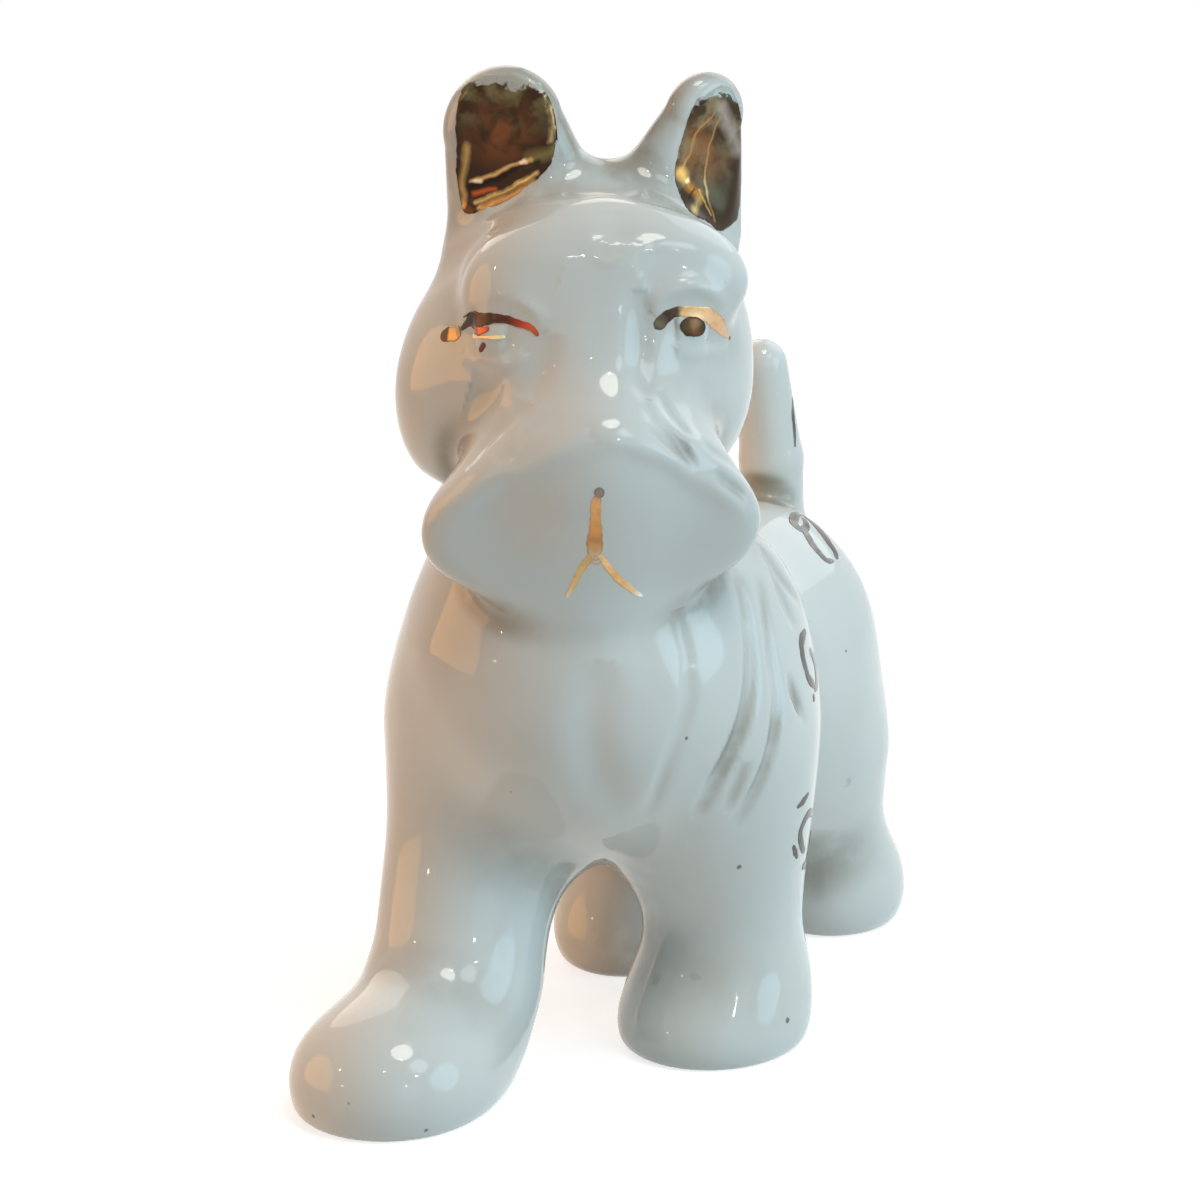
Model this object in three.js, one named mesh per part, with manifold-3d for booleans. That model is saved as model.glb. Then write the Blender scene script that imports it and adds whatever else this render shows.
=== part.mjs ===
// A glazed porcelain terrier that stands on four feet with its head turned to its left.
// It is built as a pottery builds it: a hollow body, a hollow head, four legs, two ears and a tail
// are cast apart and stuck together with slip, and gold and dark enamel are painted on the glaze.
// Millimetres, +Z up. The dog faces -Y and its left side is +X. The floor is Z = 0.
// Every casting is modelled as lumps of clay that run softly into each other.
import * as THREE from "three";
import { mergeVertices } from "three/addons/utils/BufferGeometryUtils.js";
import Module from "manifold-3d";

const wasm = await Module();
wasm.setup();

// The middle of the figurine's box, which is brought to the origin
const boxMiddle = [0.3, -2.7];

// Castings
const wall = 3.2; // what the slip leaves in the mould before it is poured out
const seam = 0.3; // clearance between two castings that are stuck together
const overlap = 1.6; // how far a casting's form runs on behind its joint before it is cut there
const ventRadius = 4.4; // the slip is poured out here, and air leaves here in the kiln
const ventPlace = [0, 4];
const soleDepth = 0.25; // ground off each foot so that it stands flat

// How far the figurine reaches, up and along its stride
const earTipHeight = 82.4; // middle of the tip of the left ear
const rightEarShortness = 0.8; // by which the right ear ends lower
const frontPawReach = 34.9; // from the middle of the stride to the toes that step forward
const hindPawReach = 29.2; // and back to the middle of the hindmost paw

// How fine the mesh of each skin is: its sides, its steps along and the rings of each end
const fineness = {
  body: [38, 22, 8],
  bodyHollow: [20, 12, 4],
  head: [54, 9, 10],
  headHollow: [18, 3, 5],
  leg: [26, 10, 7],
  ear: [24, 5, 6],
  tail: [18, 6, 5],
};

// Decoration
const filmLift = 0.16; // from the glaze to the underside of gold or enamel
const filmThickness = 0.24;

// How far one lump of clay runs into the next
const bodyBlend = 9;
const headBlend = 4;
const ridgeBlend = 1.5;
const muzzleBlend = 2;
const legBlend = 7;
const shoulderBlend = 6;
const neckBlend = 2.6;
const earBlend = 3;
const dishBlend = 1.6;
const tailBlend = 2;
const tailBendBlend = 2;
const soleBlend = 2.4;

// Body: chest, barrel and rump, a croup on each side of the tail, the shoulders over the front legs,
// and a neck that rises from the chest
const chest = { at: [0, -13.5, 33.4], half: [15.2, 14.5, 13.8] };
const barrel = { at: [0, 4, 29], half: [12.2, 23, 12.5] };
const rump = { at: [0, 21, 27.2], half: [10.9, 12.2, 13.6] };
const croup = { at: [3, 24, 34], half: [4.4, 4.4, 4.6] };
const shoulders = [
  { at: [10.4, -4.5, 30], half: [5.2, 8, 14] },
  { at: [-9, -9, 30], half: [5.1, 8, 13] },
];
const neck = { from: [-0.5, -14, 38], to: [-0.9, -13, 56], radii: [12.1, 10.1] };
const bodySpine = [[-0.3, -13, 47], [-0.2, -11.5, 38], [0, -5, 31], [0, 8, 28.5], [0, 20, 28]]; // neck to rump

// Head, in a frame that turns on a pivot over the chest. -Y is the way it looks.
const headTurn = 32; // degrees to the dog's left
const headPivot = [-0.7, -14.2];
const headLean = 0.06; // sideways for each millimetre above the mouth, to its left
const mouthHeight = 50;
const skull = { at: [0, 1, 66.5], half: [12.2, 12.5, 10.8] };
const brow = { at: [5.6, -7.8, 70.4], half: [6.9, 4.2, 4.3], turn: [0, 11, 0] };
const face = { at: [0, -5, 60.5], half: [11.2, 8, 9.5] };
const cheek = { at: [10.9, 1.2, 60.2], half: [4.5, 6.4, 8] };
const bridge = { from: [0, -4, 65], to: [0, -11.5, 55.5], radii: [6.5, 7] };
const muzzle = {
  centre: [0, -12, 52.4],
  middle: [5.2, -12, 51.2],
  corner: [10.2, -11.6, 49.8],
  radii: [9.1, 7.5, 3.6],
};
const muzzleFront = 17.6; // how far the flat front of the muzzle stands before the pivot, at the nose
const muzzleFrontHeight = 55;
const muzzleFrontTilt = 16; // degrees that it looks down
const muzzleSweep = 0.2; // how much it falls back to each side
const headSpine = [[0, 1.5, 67], [0, -6, 53]];

// Ears, in the head's frame, and the dish that is pressed into the front of each. A dish is drawn
// for an ear of the rise that it names, from the root to the top, and stretches with another one.
const earYaw = 22; // degrees that the dish looks outwards
const earFlatness = 0.54; // thickness of an ear over its width
const rightEarTipHeight = earTipHeight - rightEarShortness;
const rightEar = { from: [-5.4, 2, 74], to: [-7.8, 1, rightEarTipHeight], radii: [6.9, 5.2], yaw: -earYaw };
const leftEar = { from: [7.1, 2, 74], to: [9.1, 1, earTipHeight], radii: [6.9, 3.7], yaw: earYaw };
const dishDepth = 0.7;
const rightDish = { at: [-1.4, -4, 6.2], half: [4, 2, 6.6], earRise: 12.8 };
const leftDish = { at: [1.9, -3.8, 5], half: [3.4, 2, 6.2], earRise: 12.1 };
const earSpineStart = 2.5; // above the middle of its root
const earParting = [1.7, 0, 76]; // the ears meet here, across the head

// Legs: each has one bar from the body to the pastern, and lumps for the thigh and the paw
const legs = {
  front_right_leg: {
    bar: { from: [-9.1, -15, 28], to: [-8.4, -21.9, 9.5], radii: [7.8, 7.5] },
    lumps: [
      { at: [-9, 4.3 - frontPawReach, 2.6], half: [7.8, 10, 6.1], turn: [0, 0, -22] },
      { at: [-8.1, -frontPawReach, 3], half: [5.9, 6, 5] },
    ],
    spine: [[-8.6, -17, 22], [-8, -22, 13.5], [-8.6, 7.4 - frontPawReach, 7.5], [-8.9, 5 - frontPawReach, 3]],
  },
  front_left_leg: {
    bar: { from: [10.2, -9, 28], to: [9.8, -5, 8], radii: [7.3, 6.9] },
    lumps: [{ at: [9, -7, 2.4], half: [8.1, 8.9, 5.4] }],
    spine: [[9.8, -8.6, 20], [9.4, -5.6, 4.5]],
  },
  rear_right_leg: {
    bar: { from: [-7, 17, 18], to: [-6.8, 12, 7], radii: [6.2, 5.2] },
    lumps: [
      { at: [-6.5, 18.5, 23], half: [6.2, 9.5, 12] },
      { at: [-6.6, 10, 2.6], half: [6.6, 7.6, 5.2] },
    ],
    spine: [[-6.9, 16.5, 17], [-6.8, 11, 4]],
  },
  rear_left_leg: {
    bar: { from: [6.7, 25.2, 18], to: [7, hindPawReach - 0.2, 7], radii: [5.8, 4.9] },
    lumps: [
      { at: [6.2, 20.7, 23], half: [5.9, 9.5, 12] },
      { at: [6.9, hindPawReach, 2.4], half: [6.3, 7.2, 5] },
    ],
    spine: [[6.8, 24, 17], [7, hindPawReach, 4]],
  },
};

// Tail
const tailRoot = { from: [-0.1, 28.4, 36], to: [0.2, 28.4, 46], radii: [3, 3.3] };
const tailTip = { from: [0.2, 28.4, 46], to: [-0.1, 26.5, 55.3], radii: [3.3, 2.8] };
const tailSpine = [[0.1, 28.4, 40.5], [0, 27, 54]];

// Flat joints where castings are stuck together: a point, the way to the smaller casting and,
// where another casting lies near, how wide the joint is
const joints = {
  front_right_leg: { at: [-8.8, -16.5, 22.5], away: [-0.5, -0.2, -0.84], radius: 11 },
  front_left_leg: { at: [9.6, -10.5, 22.5], away: [0.5, 0.15, -0.85], radius: 11 },
  rear_right_leg: { at: [-6.8, 17, 16.5], away: [-0.4, -0.1, -0.91], radius: 11 },
  rear_left_leg: { at: [6.8, 23.5, 16.5], away: [0.4, 0.1, -0.91], radius: 11 },
  head: { at: [-0.7, -14.2, 48.6], away: [0.243, -0.388, 0.889] },
  tail: { at: [0.4, 28.4, 42], away: [0, 0.25, 0.97], radius: 8 },
};
const earJoints = {
  right: { at: [-7, 1, 75.8], away: [-0.34, 0, 0.94] },
  left: { at: [7.4, 1, 75.8], away: [0.34, 0, 0.94] },
};

// Gold in the ears: the outline of each patch, across and up in the ear's frame
const rightGilding = [
  [-3.9, 0.8], [-1.1, 1.6], [1.4, 3.2], [2.8, 4.8], [3, 7.4], [2.5, 9.4], [1.2, 11.2],
  [-0.7, 12], [-3.3, 12], [-4.9, 10.6], [-5.3, 7.6], [-5.3, 4.2], [-4.8, 1.4],
];
const leftGilding = [
  [0.6, 0], [-1.1, 0.9], [-1.8, 3.2], [-1.5, 5.8], [-0.7, 8.6], [0.6, 10.4],
  [2.4, 11], [3.6, 10], [4.5, 8], [5.3, 4.4], [5.2, 1.4], [4, 0],
];
const gildingStart = 1.8; // in front of the ear's middle, where its back is no longer met
const gildingReach = 7; // and how far on from there a patch can lie

// Strokes on the face: half width, and points across, forward and up in the head's frame
const faceStrokes = {
  right_brow_stroke: {
    width: 0.55,
    path: [[-12.2, -5, 65.3], [-11, -8.2, 66.8], [-9.1, -10.8, 67.7], [-7.3, -11.7, 67.3], [-5.5, -12.4, 66.5]],
  },
  left_brow_stroke: {
    width: 0.6,
    path: [[3.8, -12.8, 66.4], [5.2, -12.2, 67.7], [7.1, -11.7, 68.1], [9, -10.8, 67.5], [10.8, -8.4, 65.6]],
  },
  right_pupil: { width: 0.5, path: [[-9.7, -9.9, 65.9], [-9, -10.4, 65.3], [-8.5, -10.6, 65]] },
  left_pupil: { width: 0.8, path: [[6.3, -11.8, 66.5], [7.1, -11.6, 66.4], [7.9, -11.4, 66.3]] },
  nose_stroke: {
    width: 0.5,
    path: [[-0.5, -18.9, 55], [-0.6, -18.6, 53], [-0.5, -17.7, 51.2], [-0.4, -16.9, 49.6]],
  },
  right_lip_stroke: { width: 0.4, path: [[-0.8, -16.4, 48.6], [-1.9, -15.5, 46.9], [-3, -14.4, 45]] },
  left_lip_stroke: { width: 0.4, path: [[0.1, -16.5, 48.6], [1.9, -15.4, 47], [4, -14, 45]] },
};

// Scrolls on the flanks: the middle of each on either side, outwards, along the dog and up, how far
// it leans in over the back in degrees, and its half width of stroke
const scrolls = {
  shoulder: { left: [17, -6.8, 20.8], right: [17, -18.4, 17.4], lean: 0, width: 0.5 },
  barrel: { left: [17, -5, 35.4], right: [15, -9, 35.4], lean: 0, width: 0.55 },
  haunch: { left: [9, 21.4, 41], right: [9, 21.4, 41], lean: 50, width: 0.5 },
};
const curl = [[0.3, -0.3], [0.9, 0.4], [0.2, 1.3], [-1.2, 0.9], [-1.6, -0.8], [-0.4, -2.4], [1.6, -2.6]];
const sweep = [[2.6, 3.4], [1, 3.9], [-1.2, 3.3], [-2.9, 1.4], [-3.3, -0.8], [-2.9, -2.6]];

// A touch of enamel on the left side of the tail
const tailTouch = { width: 0.45, path: [[3, 26.7, 51.6], [3.2, 27.1, 49.4], [3.6, 27, 47.4]] };

const radians = THREE.MathUtils.degToRad;
const vector = (at) => new THREE.Vector3(...at);
const mirrored = ([x, y, z]) => [-x, y, z];

// A lump: an ellipsoid with its centre, three half sizes and a turn about X, Y and Z in degrees.
function lump({ at, half, turn = [0, 0, 0] }) {
  const back = new THREE.Matrix4()
    .makeRotationFromEuler(new THREE.Euler(...turn.map(radians)))
    .setPosition(...at)
    .invert();
  const q = new THREE.Vector3();
  return (p) => {
    q.copy(p).applyMatrix4(back);
    const x = q.x / half[0];
    const y = q.y / half[1];
    const z = q.z / half[2];
    const ratio = Math.hypot(x, y, z);
    const slope = Math.hypot(x / half[0], y / half[1], z / half[2]);
    return slope < 1e-9 ? -Math.min(...half) : (ratio * (ratio - 1)) / slope;
  };
}

// The same lump on both sides of the middle.
function pair({ at, half, turn = [0, 0, 0] }) {
  const [x, y, z] = turn;
  return [lump({ at, half, turn }), lump({ at: mirrored(at), half, turn: [x, -y, -z] })];
}

// A bar: round, from one point to another, with its own radius at each end.
function bar({ from, to, radii }) {
  const start = vector(from);
  const along = vector(to).sub(start);
  const q = new THREE.Vector3();
  return (p) => {
    q.copy(p).sub(start);
    const t = THREE.MathUtils.clamp(q.dot(along) / along.lengthSq(), 0, 1);
    const radius = THREE.MathUtils.lerp(radii[0], radii[1], t);
    return q.addScaledVector(along, -t).length() - radius;
  };
}

// How much a joint between two surfaces is filled, from how far apart they lie.
function softening(difference, reach) {
  const h = Math.max(0, 1 - Math.abs(difference) / reach);
  return (h * h * reach) / 4;
}

// Clay whose forms run into each other over the given reach.
function clay(reach, ...forms) {
  return (p) =>
    forms
      .map((form) => form(p))
      .reduce((a, b) => Math.min(a, b) - softening(a - b, reach));
}

// Clay that is cut softly by another form.
function pressed(form, cutter, reach) {
  return (p) => {
    const a = form(p);
    const b = cutter(p);
    return Math.max(a, b) + softening(a - b, reach);
  };
}

// A form given in another frame.
function placed(form, frame) {
  const back = frame.clone().invert();
  const q = new THREE.Vector3();
  return (p) => form(q.copy(p).applyMatrix4(back));
}

// How far a point lies beyond a joint, towards the smaller casting.
function beyond(joint) {
  const away = vector(joint.away).normalize();
  const level = away.dot(vector(joint.at));
  return (p) => away.dot(p) - level;
}

// A form up to just past a joint, on the larger casting's side or on the smaller one's.
function before(form, joint) {
  const distance = beyond(joint);
  return (p) => Math.max(form(p), distance(p) - overlap);
}
function after(form, joint) {
  const distance = beyond(joint);
  return (p) => Math.max(form(p), -distance(p) - overlap);
}

// A round armature inside a casting, along its spine. Its mesh has so many sides, steps along the
// spine and rings in each end.
function armature(spine, [around, along, capSteps]) {
  const curve = new THREE.CatmullRomCurve3(spine.map(vector));
  const geometry = new THREE.CapsuleGeometry(0.5, 1, capSteps, around, along);
  const position = geometry.getAttribute("position");
  const normal = geometry.getAttribute("normal");
  const upright = new THREE.Vector3(0, 1, 0);
  const turn = new THREE.Quaternion();
  for (let i = 0; i < position.count; i++) {
    const p = new THREE.Vector3().fromBufferAttribute(position, i);
    const n = new THREE.Vector3().fromBufferAttribute(normal, i);
    const t = THREE.MathUtils.clamp(p.y + 0.5, 0, 1);
    turn.setFromUnitVectors(upright, curve.getTangentAt(t));
    p.y -= t - 0.5;
    p.applyQuaternion(turn).add(curve.getPointAt(t));
    n.applyQuaternion(turn);
    position.setXYZ(i, p.x, p.y, p.z);
    normal.setXYZ(i, n.x, n.y, n.z);
  }
  return geometry;
}

// The skin of a form: each point of the armature is pushed out along its normal to the surface.
function skin(form, frame, offset = 0) {
  const farthest = 60;
  const geometry = frame.clone();
  const position = geometry.getAttribute("position");
  const normal = geometry.getAttribute("normal");
  const origin = new THREE.Vector3();
  const direction = new THREE.Vector3();
  const p = new THREE.Vector3();
  for (let i = 0; i < position.count; i++) {
    origin.fromBufferAttribute(position, i);
    direction.fromBufferAttribute(normal, i).normalize();
    let inside = 0;
    let outside = 0;
    while (outside < farthest) {
      outside += 0.5;
      p.copy(origin).addScaledVector(direction, outside);
      if (form(p) > offset) break;
      inside = outside;
    }
    for (let step = 0; step < 14; step++) {
      const middle = (inside + outside) / 2;
      p.copy(origin).addScaledVector(direction, middle);
      if (form(p) > offset) outside = middle;
      else inside = middle;
    }
    position.setXYZ(i, p.x, p.y, p.z);
  }
  return solid(geometry);
}

// A closed three.js geometry as a solid that can be joined and cut.
function solid(geometry) {
  const bare = new THREE.BufferGeometry();
  bare.setAttribute("position", geometry.getAttribute("position").clone());
  if (geometry.index) bare.setIndex(geometry.index.clone());
  const merged = mergeVertices(bare, 1e-3);
  return new wasm.Manifold(
    new wasm.Mesh({
      numProp: 3,
      vertProperties: new Float32Array(merged.getAttribute("position").array),
      triVerts: new Uint32Array(merged.index.array),
    }),
  );
}

// A solid as a three.js geometry.
function geometryOf(made) {
  const mesh = made.getMesh();
  const geometry = new THREE.BufferGeometry();
  geometry.setAttribute("position", new THREE.BufferAttribute(mesh.vertProperties, 3));
  geometry.setIndex(new THREE.BufferAttribute(mesh.triVerts, 1));
  geometry.computeVertexNormals();
  return geometry;
}

// All that lies beyond a joint, from the given distance past it. A joint with a radius is cut with
// a block that widens away from it, which leaves the neighbouring legs alone.
function blockBeyond(joint, start) {
  const depth = 120;
  const away = vector(joint.away).normalize();
  const turn = new THREE.Quaternion().setFromUnitVectors(new THREE.Vector3(0, 1, 0), away);
  const size = 300;
  const block = joint.radius
    ? new THREE.CylinderGeometry(joint.radius + depth, joint.radius, depth, 32)
    : new THREE.BoxGeometry(size, depth, size);
  const middle = vector(joint.at).addScaledVector(away, start + depth / 2);
  return solid(block.applyMatrix4(new THREE.Matrix4().compose(middle, turn, new THREE.Vector3(1, 1, 1))));
}

// A round rod between two heights, to cut with.
function uprightRod([x, y], low, high, radius) {
  const rod = new THREE.CylinderGeometry(radius, radius, high - low, 20);
  return solid(rod.rotateX(Math.PI / 2).translate(x, y, (low + high) / 2));
}

// The outward direction of a surface.
function outward(form, p) {
  const step = 0.05;
  const slope = (axis) => {
    const ahead = p.clone();
    const behind = p.clone();
    ahead[axis] += step;
    behind[axis] -= step;
    return form(ahead) - form(behind);
  };
  return new THREE.Vector3(slope("x"), slope("y"), slope("z")).normalize();
}

// The nearest point of a surface.
function settled(form, from) {
  const p = from.clone();
  for (let step = 0; step < 12; step++) {
    p.addScaledVector(outward(form, p), -form(p));
  }
  return p;
}

// Where a point of a surface lies on the castings as they are made. A joint is bridged.
function laid(castings, p, out) {
  const clear = 3;
  const caster = new THREE.Raycaster(p.clone().addScaledVector(out, clear), out.clone().negate(), 0, 2 * clear);
  const [hit] = caster.intersectObjects(castings);
  return hit && hit.distance < clear + seam ? hit.point : p.clone();
}

// Rows of points in the order that makes their faces look out of the surface.
function facingOut(form, rows) {
  const [start, across, along] = [rows[0][0], rows[0][1], rows[1][0]];
  const face = across.clone().sub(start).cross(along.clone().sub(start));
  return face.dot(outward(form, start)) > 0 ? rows : rows.map((row) => row.toReversed());
}

// A film of gold or enamel on a surface. Each row holds points across it, from one edge to the other.
function film(castings, form, given) {
  const rows = facingOut(form, given);
  const across = rows[0].length;
  const positions = [];
  for (const lift of [filmLift, filmLift + filmThickness]) {
    for (const row of rows) {
      for (const point of row) {
        const p = settled(form, point);
        const out = outward(form, p);
        positions.push(...laid(castings, p, out).addScaledVector(out, lift).toArray());
      }
    }
  }
  const layer = rows.length * across;
  const at = (row, column, top) => top * layer + row * across + column;
  const index = [];
  const quad = (a, b, c, d) => index.push(a, b, c, a, c, d);
  for (let row = 0; row < rows.length - 1; row++) {
    for (let column = 0; column < across - 1; column++) {
      quad(at(row, column, 1), at(row, column + 1, 1), at(row + 1, column + 1, 1), at(row + 1, column, 1));
      quad(at(row, column, 0), at(row + 1, column, 0), at(row + 1, column + 1, 0), at(row, column + 1, 0));
    }
    const last = across - 1;
    quad(at(row, 0, 0), at(row, 0, 1), at(row + 1, 0, 1), at(row + 1, 0, 0));
    quad(at(row, last, 0), at(row + 1, last, 0), at(row + 1, last, 1), at(row, last, 1));
  }
  const end = rows.length - 1;
  for (let column = 0; column < across - 1; column++) {
    quad(at(0, column, 0), at(0, column + 1, 0), at(0, column + 1, 1), at(0, column, 1));
    quad(at(end, column, 0), at(end, column, 1), at(end, column + 1, 1), at(end, column + 1, 0));
  }
  const geometry = new THREE.BufferGeometry();
  geometry.setAttribute("position", new THREE.Float32BufferAttribute(positions, 3));
  geometry.setIndex(index);
  geometry.computeVertexNormals();
  return geometry;
}

// The rows of a brush stroke, which starts and ends narrow and is widest in the middle.
function strokeRows(form, points, halfWidth, steps) {
  const curve = new THREE.CatmullRomCurve3(points.map((point) => settled(form, point)));
  const rows = [];
  for (let i = 0; i <= steps; i++) {
    const t = i / steps;
    const p = settled(form, curve.getPoint(t));
    const side = outward(form, p).cross(curve.getTangent(t)).normalize();
    const fullness = 0.35 + 0.65 * Math.sqrt(Math.max(0, Math.sin(Math.PI * t)));
    rows.push([-1, 0, 1].map((place) => p.clone().addScaledVector(side, place * fullness * halfWidth)));
  }
  return rows;
}

// Body
const bodyClay = clay(
  bodyBlend,
  lump(chest),
  lump(barrel),
  lump(rump),
  bar(neck),
  ...pair(croup),
  ...shoulders.map(lump),
);

// Head
const headFrame = new THREE.Matrix4()
  .makeRotationZ(radians(headTurn))
  .setPosition(headPivot[0], headPivot[1], 0)
  .multiply(new THREE.Matrix4().makeShear(0, 0, 0, 0, headLean, 0))
  .multiply(new THREE.Matrix4().makeTranslation(-headLean * mouthHeight, 0, 0));
const inHead = (at) => vector(at).applyMatrix4(headFrame);

// The flat front of the muzzle looks ahead and a little down, and falls back to each side.
function muzzleFace(p) {
  const tilt = radians(muzzleFrontTilt);
  const forward = -p.y + muzzleSweep * Math.hypot(p.x, 2) - muzzleFront;
  return forward * Math.cos(tilt) - (p.z - muzzleFrontHeight) * Math.sin(tilt);
}

function muzzleSide(turnedOver) {
  const [inner, outer] = [muzzle.middle, muzzle.corner].map(turnedOver);
  return [
    bar({ from: muzzle.centre, to: inner, radii: muzzle.radii.slice(0, 2) }),
    bar({ from: inner, to: outer, radii: muzzle.radii.slice(1) }),
  ];
}

const muzzleClay = clay(muzzleBlend, ...muzzleSide((at) => at), ...muzzleSide(mirrored));
const headCore = placed(clay(headBlend, lump(skull), lump(face), bar(bridge)), headFrame);
const headClay = placed(
  clay(
    headBlend,
    lump(skull),
    ...pair(brow),
    lump(face),
    ...pair(cheek),
    bar(bridge),
    pressed(muzzleClay, muzzleFace, ridgeBlend),
  ),
  headFrame,
);

// Ears: each is a flattened cone with a shallow dish in its front
function earFrame(ear) {
  return headFrame
    .clone()
    .multiply(new THREE.Matrix4().makeTranslation(...ear.from))
    .multiply(new THREE.Matrix4().makeRotationZ(radians(ear.yaw)));
}

// How much longer an ear is than the one for which its dish and its gold were drawn.
const stretchOf = (ear, dish) => (ear.to[2] - ear.from[2] + ear.radii[1]) / dish.earRise;

function earForm(ear, dish) {
  const squash = new THREE.Matrix4().makeScale(1, earFlatness, 1);
  const toTip = vector(ear.to)
    .sub(vector(ear.from))
    .applyMatrix4(new THREE.Matrix4().makeRotationZ(-radians(ear.yaw)))
    .applyMatrix4(squash.clone().invert());
  const cone = placed(bar({ from: [0, 0, 0], to: toTip.toArray(), radii: ear.radii }), squash);
  const blade = (p) => cone(p) * earFlatness;
  const [x, y, z] = dish.at;
  const [across, deep, up] = dish.half;
  const stretch = stretchOf(ear, dish);
  const hollow = lump({ at: [x, y - deep + dishDepth, z * stretch], half: [across, deep, up * stretch] });
  return placed(pressed(blade, (p) => -hollow(p), dishBlend), earFrame(ear));
}

const rightEarClay = earForm(rightEar, rightDish);
const leftEarClay = earForm(leftEar, leftDish);
const jointInWorld = ({ at, away }) => ({
  at: inHead(at).toArray(),
  away: vector(away).applyAxisAngle(new THREE.Vector3(0, 0, 1), radians(headTurn)).toArray(),
});
joints.right_ear = jointInWorld(earJoints.right);
joints.left_ear = jointInWorld(earJoints.left);
const rightEarSide = jointInWorld({ at: earParting, away: [-1, 0, 0] });
const leftEarSide = jointInWorld({ at: earParting, away: [1, 0, 0] });

// Legs and tail
const legClay = Object.fromEntries(
  Object.entries(legs).map(([name, leg]) => [name, clay(legBlend, bar(leg.bar), ...leg.lumps.map(lump))]),
);
const tailClay = clay(tailBendBlend, bar(tailRoot), bar(tailTip));

// The castings, each with the start of its neighbours, so that the surface runs on over a joint
const join = (a, b, reach) => clay(reach, a, b);
const bodyForm = Object.entries(legClay).reduce(
  (form, [name, leg]) => join(form, before(leg, joints[name]), shoulderBlend),
  join(
    join(bodyClay, before(headClay, joints.head), neckBlend),
    before(tailClay, joints.tail),
    tailBlend,
  ),
);
const earsClay = join(rightEarClay, leftEarClay, earBlend);
const headForm = join(
  join(headClay, after(bodyClay, joints.head), neckBlend),
  join(before(rightEarClay, joints.right_ear), before(leftEarClay, joints.left_ear), earBlend),
  earBlend,
);
const rightEarForm = after(join(earsClay, after(headClay, joints.right_ear), earBlend), rightEarSide);
const leftEarForm = after(join(earsClay, after(headClay, joints.left_ear), earBlend), leftEarSide);
const tailForm = join(tailClay, after(bodyClay, joints.tail), tailBlend);
const floor = (p) => -soleDepth - p.z;
const legForms = Object.fromEntries(
  Object.entries(legClay).map(([name, leg]) => [
    name,
    pressed(join(leg, after(bodyClay, joints[name]), shoulderBlend), floor, soleBlend),
  ]),
);

const glaze = new THREE.MeshStandardMaterial({ color: 0xdedcd4, roughness: 0.12, metalness: 0 });
const gold = new THREE.MeshStandardMaterial({ color: 0x9a6a24, roughness: 0.25, metalness: 0.9 });
const enamel = new THREE.MeshStandardMaterial({ color: 0x1d1613, roughness: 0.25, metalness: 0 });

const figurine = new THREE.Group();

function add(name, geometry, material) {
  const mesh = new THREE.Mesh(geometry, material);
  mesh.name = name;
  figurine.add(mesh);
  return mesh;
}

// The larger casting loses all that lies beyond a joint, and the smaller one keeps only that.
const cutFrom = (made, joint) => made.subtract(blockBeyond(joint, -seam / 2));
const keptBeyond = (made, joint) => made.intersect(blockBeyond(joint, seam / 2));

// Body
const bodyHollow = skin(bodyClay, armature(bodySpine, fineness.bodyHollow), -wall);
const vent = uprightRod(ventPlace, 5, 25, ventRadius);
const bodyJoints = [...Object.keys(legs), "head", "tail"];
const bodySolid = bodyJoints
  .reduce((made, name) => cutFrom(made, joints[name]), skin(bodyForm, armature(bodySpine, fineness.body)))
  .subtract(bodyHollow)
  .subtract(vent);
const bodyMesh = add("body_casting", geometryOf(bodySolid), glaze);

// Head
const headSpineAt = headSpine.map((at) => inHead(at).toArray());
const headHollow = skin(headCore, armature(headSpineAt, fineness.headHollow), -wall);
const headSolid = ["right_ear", "left_ear"]
  .reduce(
    (made, name) => cutFrom(made, joints[name]),
    keptBeyond(skin(headForm, armature(headSpineAt, fineness.head)), joints.head),
  )
  .subtract(headHollow)
  .subtract(bodyHollow);
const headMesh = add("head_casting", geometryOf(headSolid), glaze);

// Legs: the rear pair is also parted along the middle, and each foot is ground flat on the floor
const ground = { at: [0, 0, 0], away: [0, 0, 1] };
const middleSide = (sign) => ({ at: [0, 0, 0], away: [sign, 0, 0] });
const legMeshes = Object.entries(legForms).map(([name, form]) => {
  const made = keptBeyond(skin(form, armature(legs[name].spine, fineness.leg)), joints[name]);
  const standing = made.intersect(blockBeyond(ground, 0));
  const sign = Math.sign(joints[name].at[0]);
  const parted = name.startsWith("rear") ? keptBeyond(standing, middleSide(sign)) : standing;
  return add(name, geometryOf(parted), glaze);
});

// Ears, with gold in the dish of each
function patch(ear, dish, outline) {
  const stretch = stretchOf(ear, dish);
  const points = outline.map(([x, z]) => new THREE.Vector3(x, z * stretch, 0));
  const shape = new THREE.Shape(new THREE.CatmullRomCurve3(points, true).getPoints(28).slice(0, -1));
  const block = new THREE.ExtrudeGeometry(shape, { depth: gildingReach, bevelEnabled: false });
  return solid(block.rotateX(Math.PI / 2).translate(0, -gildingStart, 0).applyMatrix4(earFrame(ear)));
}

const earParts = [
  ["right_ear", rightEar, rightDish, rightEarForm, rightEarSide, rightGilding],
  ["left_ear", leftEar, leftDish, leftEarForm, leftEarSide, leftGilding],
];
for (const [name, ear, dish, form, side, outline] of earParts) {
  const [x, y, z] = ear.from;
  const spine = [[x, y, z + earSpineStart], ear.to].map((at) => inHead(at).toArray());
  const frame = armature(spine, fineness.ear);
  const earPart = (made) => keptBeyond(keptBeyond(made, joints[name]), side);
  add(name, geometryOf(earPart(skin(form, frame))), glaze);
  const shell = skin(form, frame, filmLift + filmThickness).subtract(skin(form, frame, filmLift));
  add(name + "_gilding", geometryOf(earPart(shell.intersect(patch(ear, dish, outline)))), gold);
}

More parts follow.
